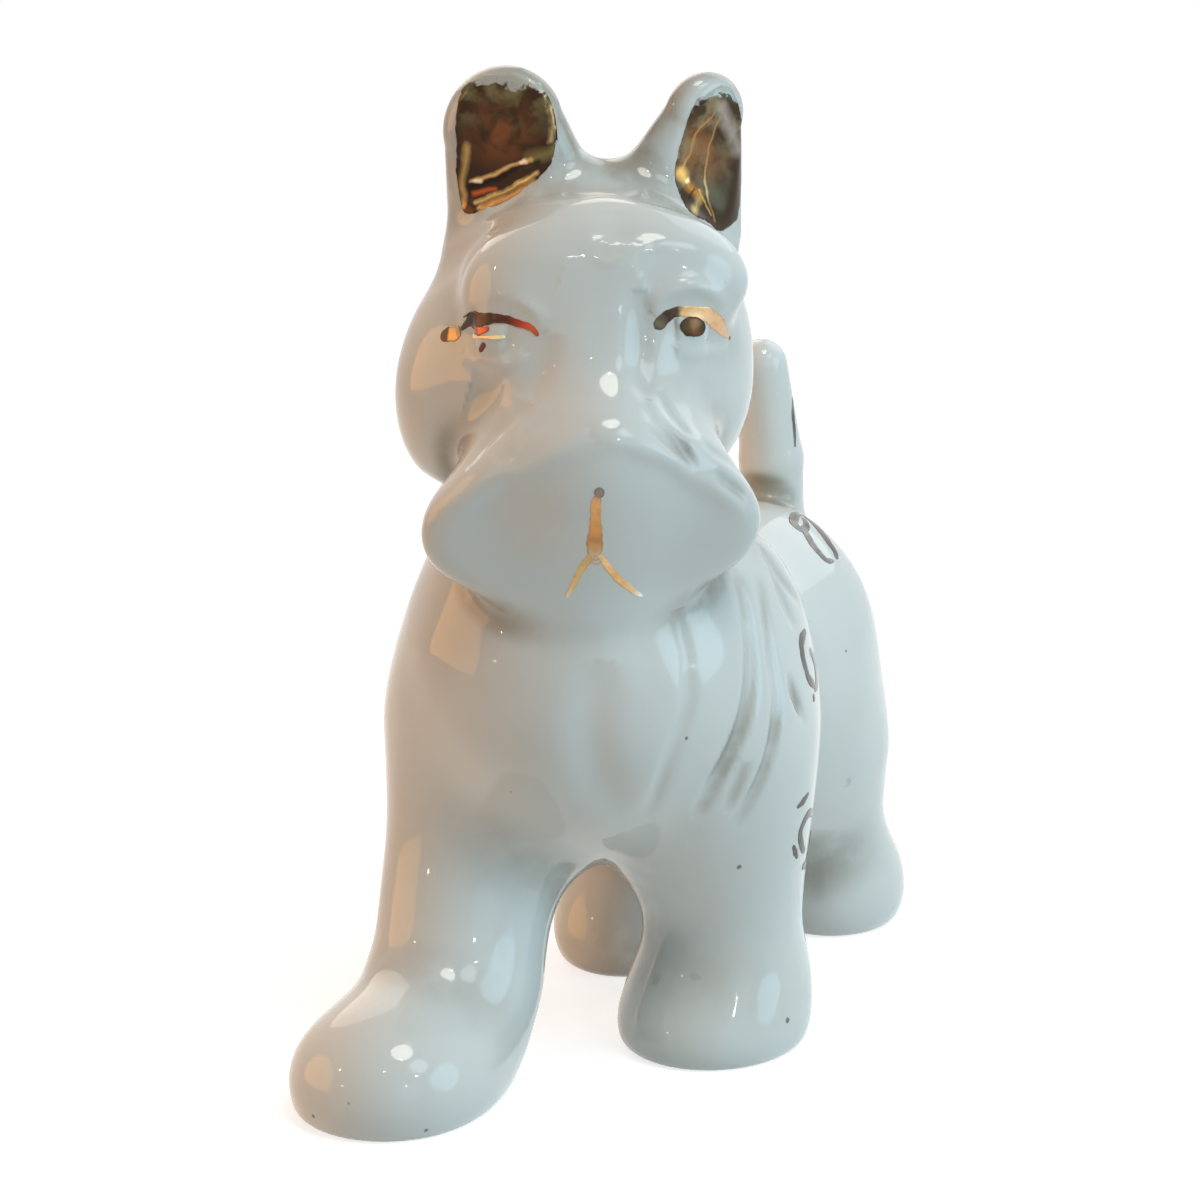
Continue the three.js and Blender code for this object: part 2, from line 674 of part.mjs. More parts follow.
// Tail
const tailSolid = keptBeyond(skin(tailForm, armature(tailSpine, fineness.tail)), joints.tail);
const tailMesh = add("tail", geometryOf(tailSolid), glaze);

// Gold strokes of the face
for (const [name, stroke] of Object.entries(faceStrokes)) {
  const points = stroke.path.map(inHead);
  add(name, film([headMesh], headForm, strokeRows(headForm, points, stroke.width, 10)), gold);
}

// Enamel scrolls on both flanks, a curl and a sweep in each
const outside = (p) =>
  [bodyForm, ...Object.values(legForms)].map((form) => form(p)).reduce((a, b) => Math.min(a, b));
for (const [side, sign] of [["left", 1], ["right", -1]]) {
  for (const [place, scroll] of Object.entries(scrolls)) {
    for (const [shape, path] of Object.entries({ curl, sweep })) {
      const [x, y, z] = scroll[side];
      const inwards = Math.sin(radians(scroll.lean));
      const upwards = Math.cos(radians(scroll.lean));
      const points = path
        .map(([along, up]) => [sign * (x - up * inwards), y + along, z + up * upwards])
        .map(vector);
      const rows = strokeRows(outside, points, scroll.width, 12);
      add(side + "_" + place + "_" + shape, film([bodyMesh, ...legMeshes], outside, rows), enamel);
    }
  }
}
const touchRows = strokeRows(tailForm, tailTouch.path.map(vector), tailTouch.width, 6);
add("tail_touch", film([tailMesh], tailForm, touchRows), enamel);

figurine.position.set(-boxMiddle[0], -boxMiddle[1], 0);
export default figurine;
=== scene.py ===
"""A glazed porcelain terrier that stands in mid-step with its head turned to its left.

Its castings are modelled as clay: lumps and bars that run softly into each other. Their sizes are
millimetres in the potter's frame, where the dog faces -Y, its left side is +X, and it stands on
Z = 0. Each mesh is brought into the fixed frame, in metres, when it is made a piece.
"""

import logging
import math
from dataclasses import dataclass, replace
from enum import Enum
from typing import Callable, Sequence

import bmesh
import bpy
import numpy as np
from mathutils import Euler, Matrix, Vector


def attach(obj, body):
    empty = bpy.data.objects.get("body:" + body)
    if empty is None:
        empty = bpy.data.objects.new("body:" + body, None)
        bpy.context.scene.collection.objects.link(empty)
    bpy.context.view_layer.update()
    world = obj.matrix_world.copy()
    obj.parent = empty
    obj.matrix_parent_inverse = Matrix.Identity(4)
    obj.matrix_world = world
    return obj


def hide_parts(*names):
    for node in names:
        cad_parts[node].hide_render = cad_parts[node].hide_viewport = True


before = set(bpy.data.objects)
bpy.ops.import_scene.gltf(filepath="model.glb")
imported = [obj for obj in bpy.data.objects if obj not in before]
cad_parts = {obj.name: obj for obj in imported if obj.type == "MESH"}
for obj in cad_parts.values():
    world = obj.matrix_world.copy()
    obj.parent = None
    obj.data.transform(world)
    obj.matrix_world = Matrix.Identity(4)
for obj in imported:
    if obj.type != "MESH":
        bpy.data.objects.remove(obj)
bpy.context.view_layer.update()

Triple = tuple[float, float, float]
Points = np.ndarray
Form = Callable[[Points], Points]

log = logging.getLogger("terrier")

MM = 0.001
FRAME_MIDDLE = np.array((0.3, -2.7, 0.0))  # where the fixed frame's origin lies in the potter's frame
FAR = 50.0  # stands for any distance that is too long to matter to a blend
TINY = 1e-9  # keeps a quotient finite
BALL_DETAIL = 4  # subdivisions of each ball in the rough model
ROUND_SIDES = 40  # of each bar in the rough model, and of the vent
LEAST_STEEPNESS = 0.05  # squared, below which a form counts as no flatter
STRIDE = 0.9  # how far a point may go in one step onto a form
SKIN_GAP = 0.15  # how far from the form the middle of a face of the skin lies at most
SKIN_FACING = 0.75  # how well such a face looks the form's way, from 0 to 1
HOLLOW_REACHES = (1.0, 2.5)  # distances at which hollows and crests are felt


class Slot(Enum):
    """The material slots."""

    PORCELAIN = "glazed_porcelain"
    GOLD = "bright_gold"
    ENAMEL = "dark_enamel"


# Clay


def softening(gap: Points, reach: float) -> Points:
    """Tells how much the corner between two surfaces is filled.

    Args:
        gap: How far apart the two surfaces lie.
        reach: Over which distance they run into each other.

    Returns:
        The thickness of the filling.
    """
    h = np.clip(1 - np.abs(gap) / reach, 0, None)
    return h * h * reach / 4


def joined(reach: float, *forms: Form) -> Form:
    """Joins forms of clay so that they run softly into each other.

    Args:
        reach: Over which distance they do so.
        *forms: The forms.

    Returns:
        The joined form.
    """

    def distance(points: Points) -> Points:
        """Measures how far each point lies from the joined form."""
        made = forms[0](points)
        for form in forms[1:]:
            other = form(points)
            made = np.minimum(made, other) - softening(made - other, reach)
        return made

    return distance


def pressed(form: Form, cutter: Form, reach: float) -> Form:
    """Cuts a form with another one, and rounds the edge.

    Args:
        form: The clay.
        cutter: What is left of it lies inside this form too.
        reach: The breadth of the rounded edge.

    Returns:
        The cut form.
    """

    def distance(points: Points) -> Points:
        """Measures how far each point lies from the cut form."""
        a = form(points)
        b = cutter(points)
        return np.maximum(a, b) + softening(a - b, reach)

    return distance


def placed(form: Form, matrix: Matrix) -> Form:
    """Moves a form into another frame.

    Args:
        form: The form in its own frame.
        matrix: The way from that frame to the new one.

    Returns:
        The form in the new frame.
    """
    back = np.array(matrix.inverted())

    def distance(points: Points) -> Points:
        """Measures how far each point lies from the moved form."""
        return form(points @ back[:3, :3].T + back[:3, 3])

    return distance


def within(form: Form, low: Triple, high: Triple) -> Form:
    """Spares the work on a form for points that are too far away to feel it.

    Args:
        form: The form.
        low: The low corner of the box in which it is felt.
        high: The high corner.

    Returns:
        The form, which is simply far away outside the box.
    """
    lowest = np.array(low)
    highest = np.array(high)

    def distance(points: Points) -> Points:
        """Measures how far each point in the box lies from the form."""
        inside = np.all((points > lowest) & (points < highest), axis=1)
        made = np.full(len(points), FAR)
        made[inside] = form(points[inside])
        return made

    return distance


@dataclass(frozen=True)
class Lump:
    """An ellipsoid of clay, with its centre, three half sizes and a turn in degrees."""

    at: Triple
    half: Triple
    turn: Triple = (0.0, 0.0, 0.0)

    def matrix(self) -> Matrix:
        """Gives the lump's own frame."""
        return Matrix.Translation(self.at) @ Euler([math.radians(a) for a in self.turn]).to_matrix().to_4x4()

    def form(self) -> Form:
        """Gives the lump as a form."""
        half = np.array(self.half)

        def distance(points: Points) -> Points:
            """Measures roughly how far each point lies from the ellipsoid."""
            q = points / half
            ratio = np.linalg.norm(q, axis=1)
            slope = np.linalg.norm(q / half, axis=1)
            return ratio * (ratio - 1) / np.maximum(slope, TINY)

        return placed(distance, self.matrix())

    def add_to(self, bm: bmesh.types.BMesh, matrix: Matrix = Matrix()) -> None:
        """Adds the lump to a rough model, in the frame given."""
        size = Matrix.Diagonal((*self.half, 1))
        bmesh.ops.create_icosphere(bm, subdivisions=BALL_DETAIL, radius=1,
                                   matrix=matrix @ self.matrix() @ size)


@dataclass(frozen=True)
class Bar:
    """A round bar of clay from one point to another, with a radius at each end."""

    start: Triple
    end: Triple
    radii: tuple[float, float]

    def form(self) -> Form:
        """Gives the bar as a form."""
        start = np.array(self.start)
        along = np.array(self.end) - start

        def distance(points: Points) -> Points:
            """Measures how far each point lies from the bar."""
            q = points - start
            t = np.clip(q @ along / (along @ along), 0, 1)
            radius = self.radii[0] + (self.radii[1] - self.radii[0]) * t
            return np.linalg.norm(q - t[:, None] * along, axis=1) - radius

        return distance

    def add_to(self, bm: bmesh.types.BMesh, matrix: Matrix = Matrix()) -> None:
        """Adds the bar to a rough model: a cone with a ball at each end.

        Args:
            bm: The rough model.
            matrix: The frame in which the bar is given.
        """
        start = Vector(self.start)
        along = Vector(self.end) - start
        upright = along.to_track_quat("Z", "Y").to_matrix().to_4x4()
        middle = matrix @ Matrix.Translation(start + along / 2) @ upright
        bmesh.ops.create_cone(bm, cap_ends=True, segments=ROUND_SIDES, radius1=self.radii[0],
                              radius2=self.radii[1],
                              depth=along.length, matrix=middle)
        for at, radius in zip((self.start, self.end), self.radii):
            bmesh.ops.create_icosphere(bm, subdivisions=BALL_DETAIL, radius=radius,
                                       matrix=matrix @ Matrix.Translation(at))


def mirrored(shape: Lump | Bar) -> Lump | Bar:
    """Mirrors a shape.

    Args:
        shape: The shape.

    Returns:
        The same shape on the other side of the dog's middle.
    """
    if isinstance(shape, Lump):
        x, y, z = shape.turn
        return Lump((-shape.at[0], *shape.at[1:]), shape.half, (x, -y, -z))
    return Bar((-shape.start[0], *shape.start[1:]), (-shape.end[0], *shape.end[1:]), shape.radii)


def route(points: Sequence[Triple] | Points, count: int) -> Points:
    """Draws a smooth line through points.

    Args:
        points: The points.
        count: How many points to give along the line.

    Returns:
        Points along the line, from its first to its last.
    """
    given = np.array(points, dtype=float)
    ends = (2 * given[:1] - given[1:2], 2 * given[-1:] - given[-2:-1])
    around = np.concatenate((ends[0], given, ends[1]))
    t = np.linspace(0, len(given) - 1, count)
    i = np.minimum(t.astype(int), len(given) - 2)
    t = (t - i)[:, None]
    a, b, c, d = (around[i + k] for k in range(4))
    return 0.5 * (2 * b + (c - a) * t + (2 * a - 5 * b + 4 * c - d) * t**2 + (3 * b - a - 3 * c + d) * t**3)


@dataclass(frozen=True)
class Crease:
    """A soft furrow that a tool draws in the clay, or a ridge where its depth is negative."""

    points: tuple[Triple, ...]
    width: float
    depth: float
    steps: int = 6  # along the line, for each of its points
    reach: float = 2.5  # how many widths away it is felt
    taper: float = 0.7  # how softly it fades at its ends

    def form(self, matrix: Matrix = Matrix()) -> Form:
        """Tells how much further the surface lies from each point than before.

        Args:
            matrix: The frame in which the furrow is given.

        Returns:
            A form that is added to the clay's.
        """
        turn = np.array(matrix)
        line = route(self.points, self.steps * len(self.points)) @ turn[:3, :3].T + turn[:3, 3]
        margin = self.reach * self.width
        low = line.min(axis=0) - margin
        high = line.max(axis=0) + margin
        share = np.linspace(0, 1, len(line))

        def depth_at(points: Points) -> Points:
            """Tells how deep the furrow is.

            Args:
                points: Where to tell it.

            Returns:
                The depth at each point, which is nothing far from the line.
            """
            made = np.zeros(len(points))
            inside = np.all((points > low) & (points < high), axis=1)
            if not inside.any():
                return made
            near = points[inside]
            best = np.full(len(near), np.inf)
            where = np.zeros(len(near))
            for k in range(len(line) - 1):
                along = line[k + 1] - line[k]
                q = near - line[k]
                t = np.clip(q @ along / (along @ along), 0, 1)
                gap = np.linalg.norm(q - t[:, None] * along, axis=1)
                closer = gap < best
                best[closer] = gap[closer]
                where[closer] = (share[k] + t * (share[k + 1] - share[k]))[closer]
            fade = np.clip(4 * where * (1 - where), 0, 1) ** self.taper
            made[inside] = self.depth * fade * np.exp(-((best / self.width) ** 2))
            return made

        return depth_at


def slope_of(form: Form, points: Points, step: float = 0.02) -> tuple[Points, Points]:
    """Finds a form's distance and the way in which it grows, from four looks around each point.

    Args:
        form: The form.
        points: Where to look.
        step: How far to look from each point.

    Returns:
        The distance and its slope at each point.
    """
    value = np.zeros(len(points))
    slope = np.zeros_like(points)
    for way in ((1, -1, -1), (-1, -1, 1), (-1, 1, -1), (1, 1, 1)):
        seen = form(points + step * np.array(way))
        value += seen / 4
        slope += seen[:, None] * np.array(way) / (4 * step)
    return value, slope


def outward(form: Form, points: Points) -> Points:
    """Gives the surface's outward direction at each point."""
    slope = slope_of(form, points)[1]
    return slope / np.maximum(np.linalg.norm(slope, axis=1, keepdims=True), TINY)


def steepness_of(slope: Points) -> Points:
    """Gives the squared length of each slope, which is never quite nothing."""
    return np.maximum((slope**2).sum(axis=1, keepdims=True), LEAST_STEEPNESS)


def step_onto(value: Points, slope: Points) -> Points:
    """Finds one step from each point towards the surface of a form.

    Args:
        value: The form's distance at each point.
        slope: The form's slope at each point.

    Returns:
        The step, which is never longer than the stride.
    """
    way = -value[:, None] / steepness_of(slope) * slope
    length = np.linalg.norm(way, axis=1, keepdims=True)
    return way * np.minimum(1, STRIDE / np.maximum(length, TINY))


def settled(form: Form, points: Points, steps: int = 6) -> Points:
    """Moves points onto the surface of a form.

    Args:
        form: The form.
        points: The points.
        steps: How many times they move.

    Returns:
        The moved points.
    """
    made = points.copy()
    for _ in range(steps):
        made += step_onto(*slope_of(form, made))
    return made


# Meshes


def new_object(name: str, mesh: bpy.types.Mesh) -> bpy.types.Object:
    """Puts a mesh in the scene as an object."""
    made = bpy.data.objects.new(name, mesh)
    bpy.context.scene.collection.objects.link(made)
    return made


def object_from(bm: bmesh.types.BMesh, name: str) -> bpy.types.Object:
    """Puts a bmesh in the scene as an object, and frees it."""
    mesh = bpy.data.meshes.new(name)
    bm.to_mesh(mesh)
    bm.free()
    return new_object(name, mesh)


def apply_modifiers(target: bpy.types.Object) -> None:
    """Turns what an object's modifiers make of it into its own mesh.

    Args:
        target: The object.
    """
    shown = target.evaluated_get(bpy.context.evaluated_depsgraph_get())
    mesh = bpy.data.meshes.new_from_object(shown)
    target.modifiers.clear()
    old = target.data
    target.data = mesh
    bpy.data.meshes.remove(old)


def places_of(mesh: bpy.types.Mesh) -> Points:
    """Reads where a mesh's points lie."""
    places = np.empty(3 * len(mesh.vertices))
    mesh.vertices.foreach_get("co", places)
    return places.reshape(-1, 3)


def move_to(mesh: bpy.types.Mesh, places: Points) -> None:
    """Moves a mesh's points."""
    mesh.vertices.foreach_set("co", places.ravel())
    mesh.update()


class Carving(Enum):
    """What a cutter does to a piece of clay."""

    KEEP_INSIDE = "INTERSECT"
    TAKE_AWAY = "DIFFERENCE"


def carve(target: bpy.types.Object, cutter: bmesh.types.BMesh, carving: Carving) -> None:
    """Cuts an object.

    Args:
        target: The object.
        cutter: The closed shape to cut it with, which is used up.
        carving: Which part stays.
    """
    tool = object_from(cutter, "cutter")
    modifier = target.modifiers.new("carving", "BOOLEAN")
    modifier.object = tool
    modifier.operation = carving.value
    modifier.solver = "MANIFOLD"
    apply_modifiers(target)
    shape = tool.data
    bpy.data.objects.remove(tool)
    bpy.data.meshes.remove(shape)


def keep_island(target: bpy.types.Object, seed: Triple) -> None:
    """Deletes all of an object that doesn't hang together with one of its points.

    Args:
        target: The object.
        seed: The point nearest to this place is the one.
    """
    bm = bmesh.new()
    bm.from_mesh(target.data)
    spot = Vector(seed)
    start = min(bm.verts, key=lambda vert: (vert.co - spot).length_squared)
    island = {start}
    front = [start]
    while front:
        vert = front.pop()
        for edge in vert.link_edges:
            other = edge.other_vert(vert)
            if other not in island:
                island.add(other)
                front.append(other)
    bmesh.ops.delete(bm, geom=[vert for vert in bm.verts if vert not in island], context="VERTS")
    bm.to_mesh(target.data)
    bm.free()


def cut_off(bm: bmesh.types.BMesh, at: Triple, away: Triple) -> None:
    """Cuts a closed mesh with a plane, and closes it again.

    Args:
        bm: The mesh.
        at: A point of the plane.
        away: The way to the side that stays.
    """
    geometry = bm.verts[:] + bm.edges[:] + bm.faces[:]
    cut = bmesh.ops.bisect_plane(bm, geom=geometry, dist=1e-4, plane_co=at, plane_no=away, clear_inner=True)
    rim = [item for item in cut["geom_cut"] if isinstance(item, bmesh.types.BMEdge)]
    bmesh.ops.edgeloop_fill(bm, edges=rim)
    bmesh.ops.recalc_face_normals(bm, faces=bm.faces)


def block(*planes: tuple[Triple, Triple], size: float = 400.0) -> bmesh.types.BMesh:
    """Makes a large block that is bounded by planes.

    Args:
        *planes: A point of each plane, and the way to the side that stays.
        size: The block's size before it is cut.

    Returns:
        The block, closed.
    """
    bm = bmesh.new()
    bmesh.ops.create_cube(bm, size=size)
    for at, away in planes:
        cut_off(bm, at, away)
    return bm


@dataclass(frozen=True)
class Joint:
    """A flat joint between two castings: a point, the way to the smaller one, and the joint's radius.

    The block beyond a joint with a radius widens away from it, which leaves neighbours alone.
    """

    at: Triple
    away: Triple
    radius: float = 0.0

    def beyond(self) -> bmesh.types.BMesh:
        """Makes a block of all that lies beyond the joint."""
        if not self.radius:
            return block((self.at, self.away))
        bm = bmesh.new()
        depth = 120.0
        sides = 64
        turn = Vector(self.away).to_track_quat("Z", "Y").to_matrix().to_4x4()
        place = Matrix.Translation(self.at) @ turn @ Matrix.Translation((0, 0, depth / 2))
        bmesh.ops.create_cone(bm, cap_ends=True, segments=sides, radius1=self.radius,
                              radius2=self.radius + depth, depth=depth, matrix=place)
        return bm


# The dog's parts in clay


HEAD_TURN = 32.0  # degrees that the head is turned to the dog's left
HEAD_PIVOT = (-0.7, -14.2, 0.0)
HEAD_LEAN = 0.06  # sideways for each millimetre above the mouth
MOUTH_HEIGHT = 50.0


def head_frame() -> Matrix:
    """Gives the frame of the head, in which -Y is the way it looks."""
    lean = Matrix(((1, 0, HEAD_LEAN, -HEAD_LEAN * MOUTH_HEIGHT), (0, 1, 0, 0), (0, 0, 1, 0), (0, 0, 0, 1)))
    return Matrix.Translation(HEAD_PIVOT) @ Matrix.Rotation(math.radians(HEAD_TURN), 4, "Z") @ lean


IN_HEAD = head_frame()


def from_head(point: Triple) -> Triple:
    """Brings a point from the head's frame into the potter's."""
    return tuple(IN_HEAD @ Vector(point))


def way_from_head(way: Triple) -> Triple:
    """Turns a direction from the head's frame into the potter's."""
    return tuple(Matrix.Rotation(math.radians(HEAD_TURN), 3, "Z") @ Vector(way))


EAR_PARTING = (1.7, 0.0, 76.0)  # the ears meet here, across the head

JOINTS = {
    "front_right_leg": Joint((-8.8, -16.5, 22.5), (-0.5, -0.2, -0.84), 11),
    "front_left_leg": Joint((9.6, -10.5, 22.5), (0.5, 0.15, -0.85), 11),
    "rear_right_leg": Joint((-6.8, 17, 16.5), (-0.4, -0.1, -0.91), 11),
    "rear_left_leg": Joint((6.8, 23.5, 16.5), (0.4, 0.1, -0.91), 11),
    "head_casting": Joint((-0.7, -14.2, 48.6), (0.243, -0.388, 0.889)),
    "tail": Joint((0.4, 28.4, 42), (0, 0.25, 0.97), 8),
    "right_ear": Joint(from_head((-7, 1, 75.8)), way_from_head((-0.34, 0, 0.94))),
    "left_ear": Joint(from_head((7.4, 1, 75.8)), way_from_head((0.34, 0, 0.94))),
}


def ear_block(node: str) -> bmesh.types.BMesh:
    """Makes a block of all that lies beyond an ear's joint, on its own side of the head."""
    joint = JOINTS[node]
    side = -1 if node.startswith("right") else 1
    return block((joint.at, joint.away), (from_head(EAR_PARTING), way_from_head((side, 0, 0))))


def leg_block(node: str) -> bmesh.types.BMesh:
    """Makes a block of all that lies beyond a leg's joint, on its own side of the dog."""
    bm = JOINTS[node].beyond()
    side = -1 if "right" in node else 1
    cut_off(bm, (0, 0, 0), (side, 0, 0))
    return bm


@dataclass(frozen=True)
class Casting:
    """A casting of porcelain: its clay, and the share of the dog's skin that it takes."""

    node: str

    def form(self) -> Form:
        """Gives the casting's clay as a form."""
        raise NotImplementedError

    def shapes(self) -> tuple[Lump | Bar, ...]:
        """Lists the lumps and bars of its rough model."""
        raise NotImplementedError

    def model(self, bm: bmesh.types.BMesh) -> None:
        """Adds the casting to the rough model of the dog."""
        for shape in self.shapes():
            shape.add_to(bm)

    def keeps(self) -> list[bmesh.types.BMesh]:
        """Makes the blocks inside which the casting lies."""
        return [JOINTS[self.node].beyond()]

    def takes(self) -> list[bmesh.types.BMesh]:
        """Makes the blocks that are taken away from it."""
        return []

    def seed(self) -> Triple:
        """Gives a point near its surface."""
        raise NotImplementedError

    def build(self, skin: bpy.types.Object, form: Form) -> bpy.types.Object:
        """Makes the casting of its share of the skin.

        Args:
            skin: The skin of the whole dog.
            form: The form of the skin.

        Returns:
            The casting, in the fixed frame.
        """
        made = new_object("glazed_" + self.node, skin.data.copy())
        for cutter in self.keeps():
            carve(made, cutter, Carving.KEEP_INSIDE)
        for cutter in self.takes():
            carve(made, cutter, Carving.TAKE_AWAY)
        keep_island(made, self.seed())
        shade_smoothly(made.data, form)
        mark_hollows(made.data, form)
        move_to(made.data, in_frame(places_of(made.data)))
        make_piece(made, self.node, Slot.PORCELAIN)
        return made

    def dress(self, made: bpy.types.Object, glaze: bpy.types.Material) -> None:
        """Glazes the casting."""
        made.data.materials.clear()
        made.data.materials.append(glaze)


@dataclass(frozen=True)
class Body(Casting):
    """Chest, barrel and rump, and a neck that rises from the chest."""

    node: str = "body_casting"
    chest: Lump = Lump((0, -13.5, 33.4), (15.2, 14.5, 13.8))
    barrel: Lump = Lump((0, 4, 29), (12.2, 23, 12.5))
    rump: Lump = Lump((0, 21, 27.2), (10.9, 12.2, 13.6))
    croup: Lump = Lump((2.7, 23.6, 33.6), (4.3, 4.4, 4.6))
    left_shoulder: Lump = Lump((10.4, -4.5, 30), (5.2, 8, 14))
    right_shoulder: Lump = Lump((-8.6, -9, 30), (5.0, 8, 13))
    neck: Bar = Bar((-0.5, -14, 38), (-0.9, -13, 56), (12.1, 10.1))
    blend: float = 9.0
    wall: float = 3.2
    vent_radius: float = 4.4
    vent_place: tuple[float, float] = (0.0, 4.0)
    creases: tuple[Crease, ...] = (
        Crease(((13.4, -12.4, 44.9), (15.5, -14.1, 40.1), (16.2, -16.2, 34.1), (14.1, -18.4, 27.6),
                (12.5, -18.3, 24.3)), 0.75, 0.53),
        Crease(((14.4, -9.6, 43.9), (16.6, -11.9, 38.3), (17.7, -12.9, 33.2), (16.4, -14.9, 26.3),
                (14.6, -15.6, 22.9)), 0.7, 0.46),
        Crease(((13.2, -6.2, 45.5), (14.9, -5.8, 43.1), (15.7, -2.9, 40.0)), 0.7, 0.39),
        Crease(((14.5, -6.9, 43.9), (15.9, -7.0, 41.2), (16.8, -6.3, 38.5)), 0.7, 0.39),
        Crease(((17.6, -10.5, 35.7), (18.0, -9.9, 33.3), (18.0, -9.2, 30.6)), 0.6, 0.39),
        Crease(((16.4, -16.4, 29.3), (15.7, -16.7, 27.2), (14.6, -16.7, 24.6)), 0.6, 0.39),
        Crease(((11.9, -20.9, 43.1), (12.5, -21.1, 40.5), (13.3, -21.3, 38.3)), 0.7, 0.34),
        Crease(((12.7, -21.6, 39.5), (13.4, -21.8, 35.6), (12.1, -22.8, 30.6), (9.1, -21.6, 24.6)), 0.8,
               0.40),
        Crease(((7.4, -26.6, 39.5), (7.0, -27.6, 34.6), (7.2, -26.2, 29.1), (7.9, -21.5, 23.5)), 2.0, 0.54),
        Crease(((-13.4, -12.4, 44.9), (-14.4, -16.5, 37.0), (-12.6, -20.4, 28.6)), 1.0, 0.46),
    )

    def shapes(self) -> tuple[Lump | Bar, ...]:
        """Lists the body's lumps and bars."""
        return (self.chest, self.barrel, self.rump, self.neck, self.croup, mirrored(self.croup),
                self.left_shoulder,
                self.right_shoulder)

    def form(self) -> Form:
        """Gives the body's form."""
        return joined(self.blend, *(shape.form() for shape in self.shapes()))

    def keeps(self) -> list[bmesh.types.BMesh]:
        """Keeps all of the skin that no other casting takes."""
        return []

    def takes(self) -> list[bmesh.types.BMesh]:
        """Makes the blocks of the other castings, the hollow in each lump, and the vent in the belly."""
        made = [leg_block(leg.node) for leg in LEGS]
        made += [JOINTS["head_casting"].beyond(), JOINTS["tail"].beyond()]
        for lump in (self.chest, self.barrel, self.rump):
            bm = bmesh.new()
            Lump(lump.at, tuple(half - self.wall for half in lump.half)).add_to(bm)
            made.append(bm)
        vent = bmesh.new()
        depth = 16.0
        place = Matrix.Translation((*self.vent_place, self.barrel.at[2] - self.barrel.half[2]))
        bmesh.ops.create_cone(vent, cap_ends=True, segments=ROUND_SIDES, radius1=self.vent_radius,
                              radius2=self.vent_radius,
                              depth=depth, matrix=place)
        made.append(vent)
        return made

    def seed(self) -> Triple:
        """Gives a point on the back."""
        return (0, 0, 42)


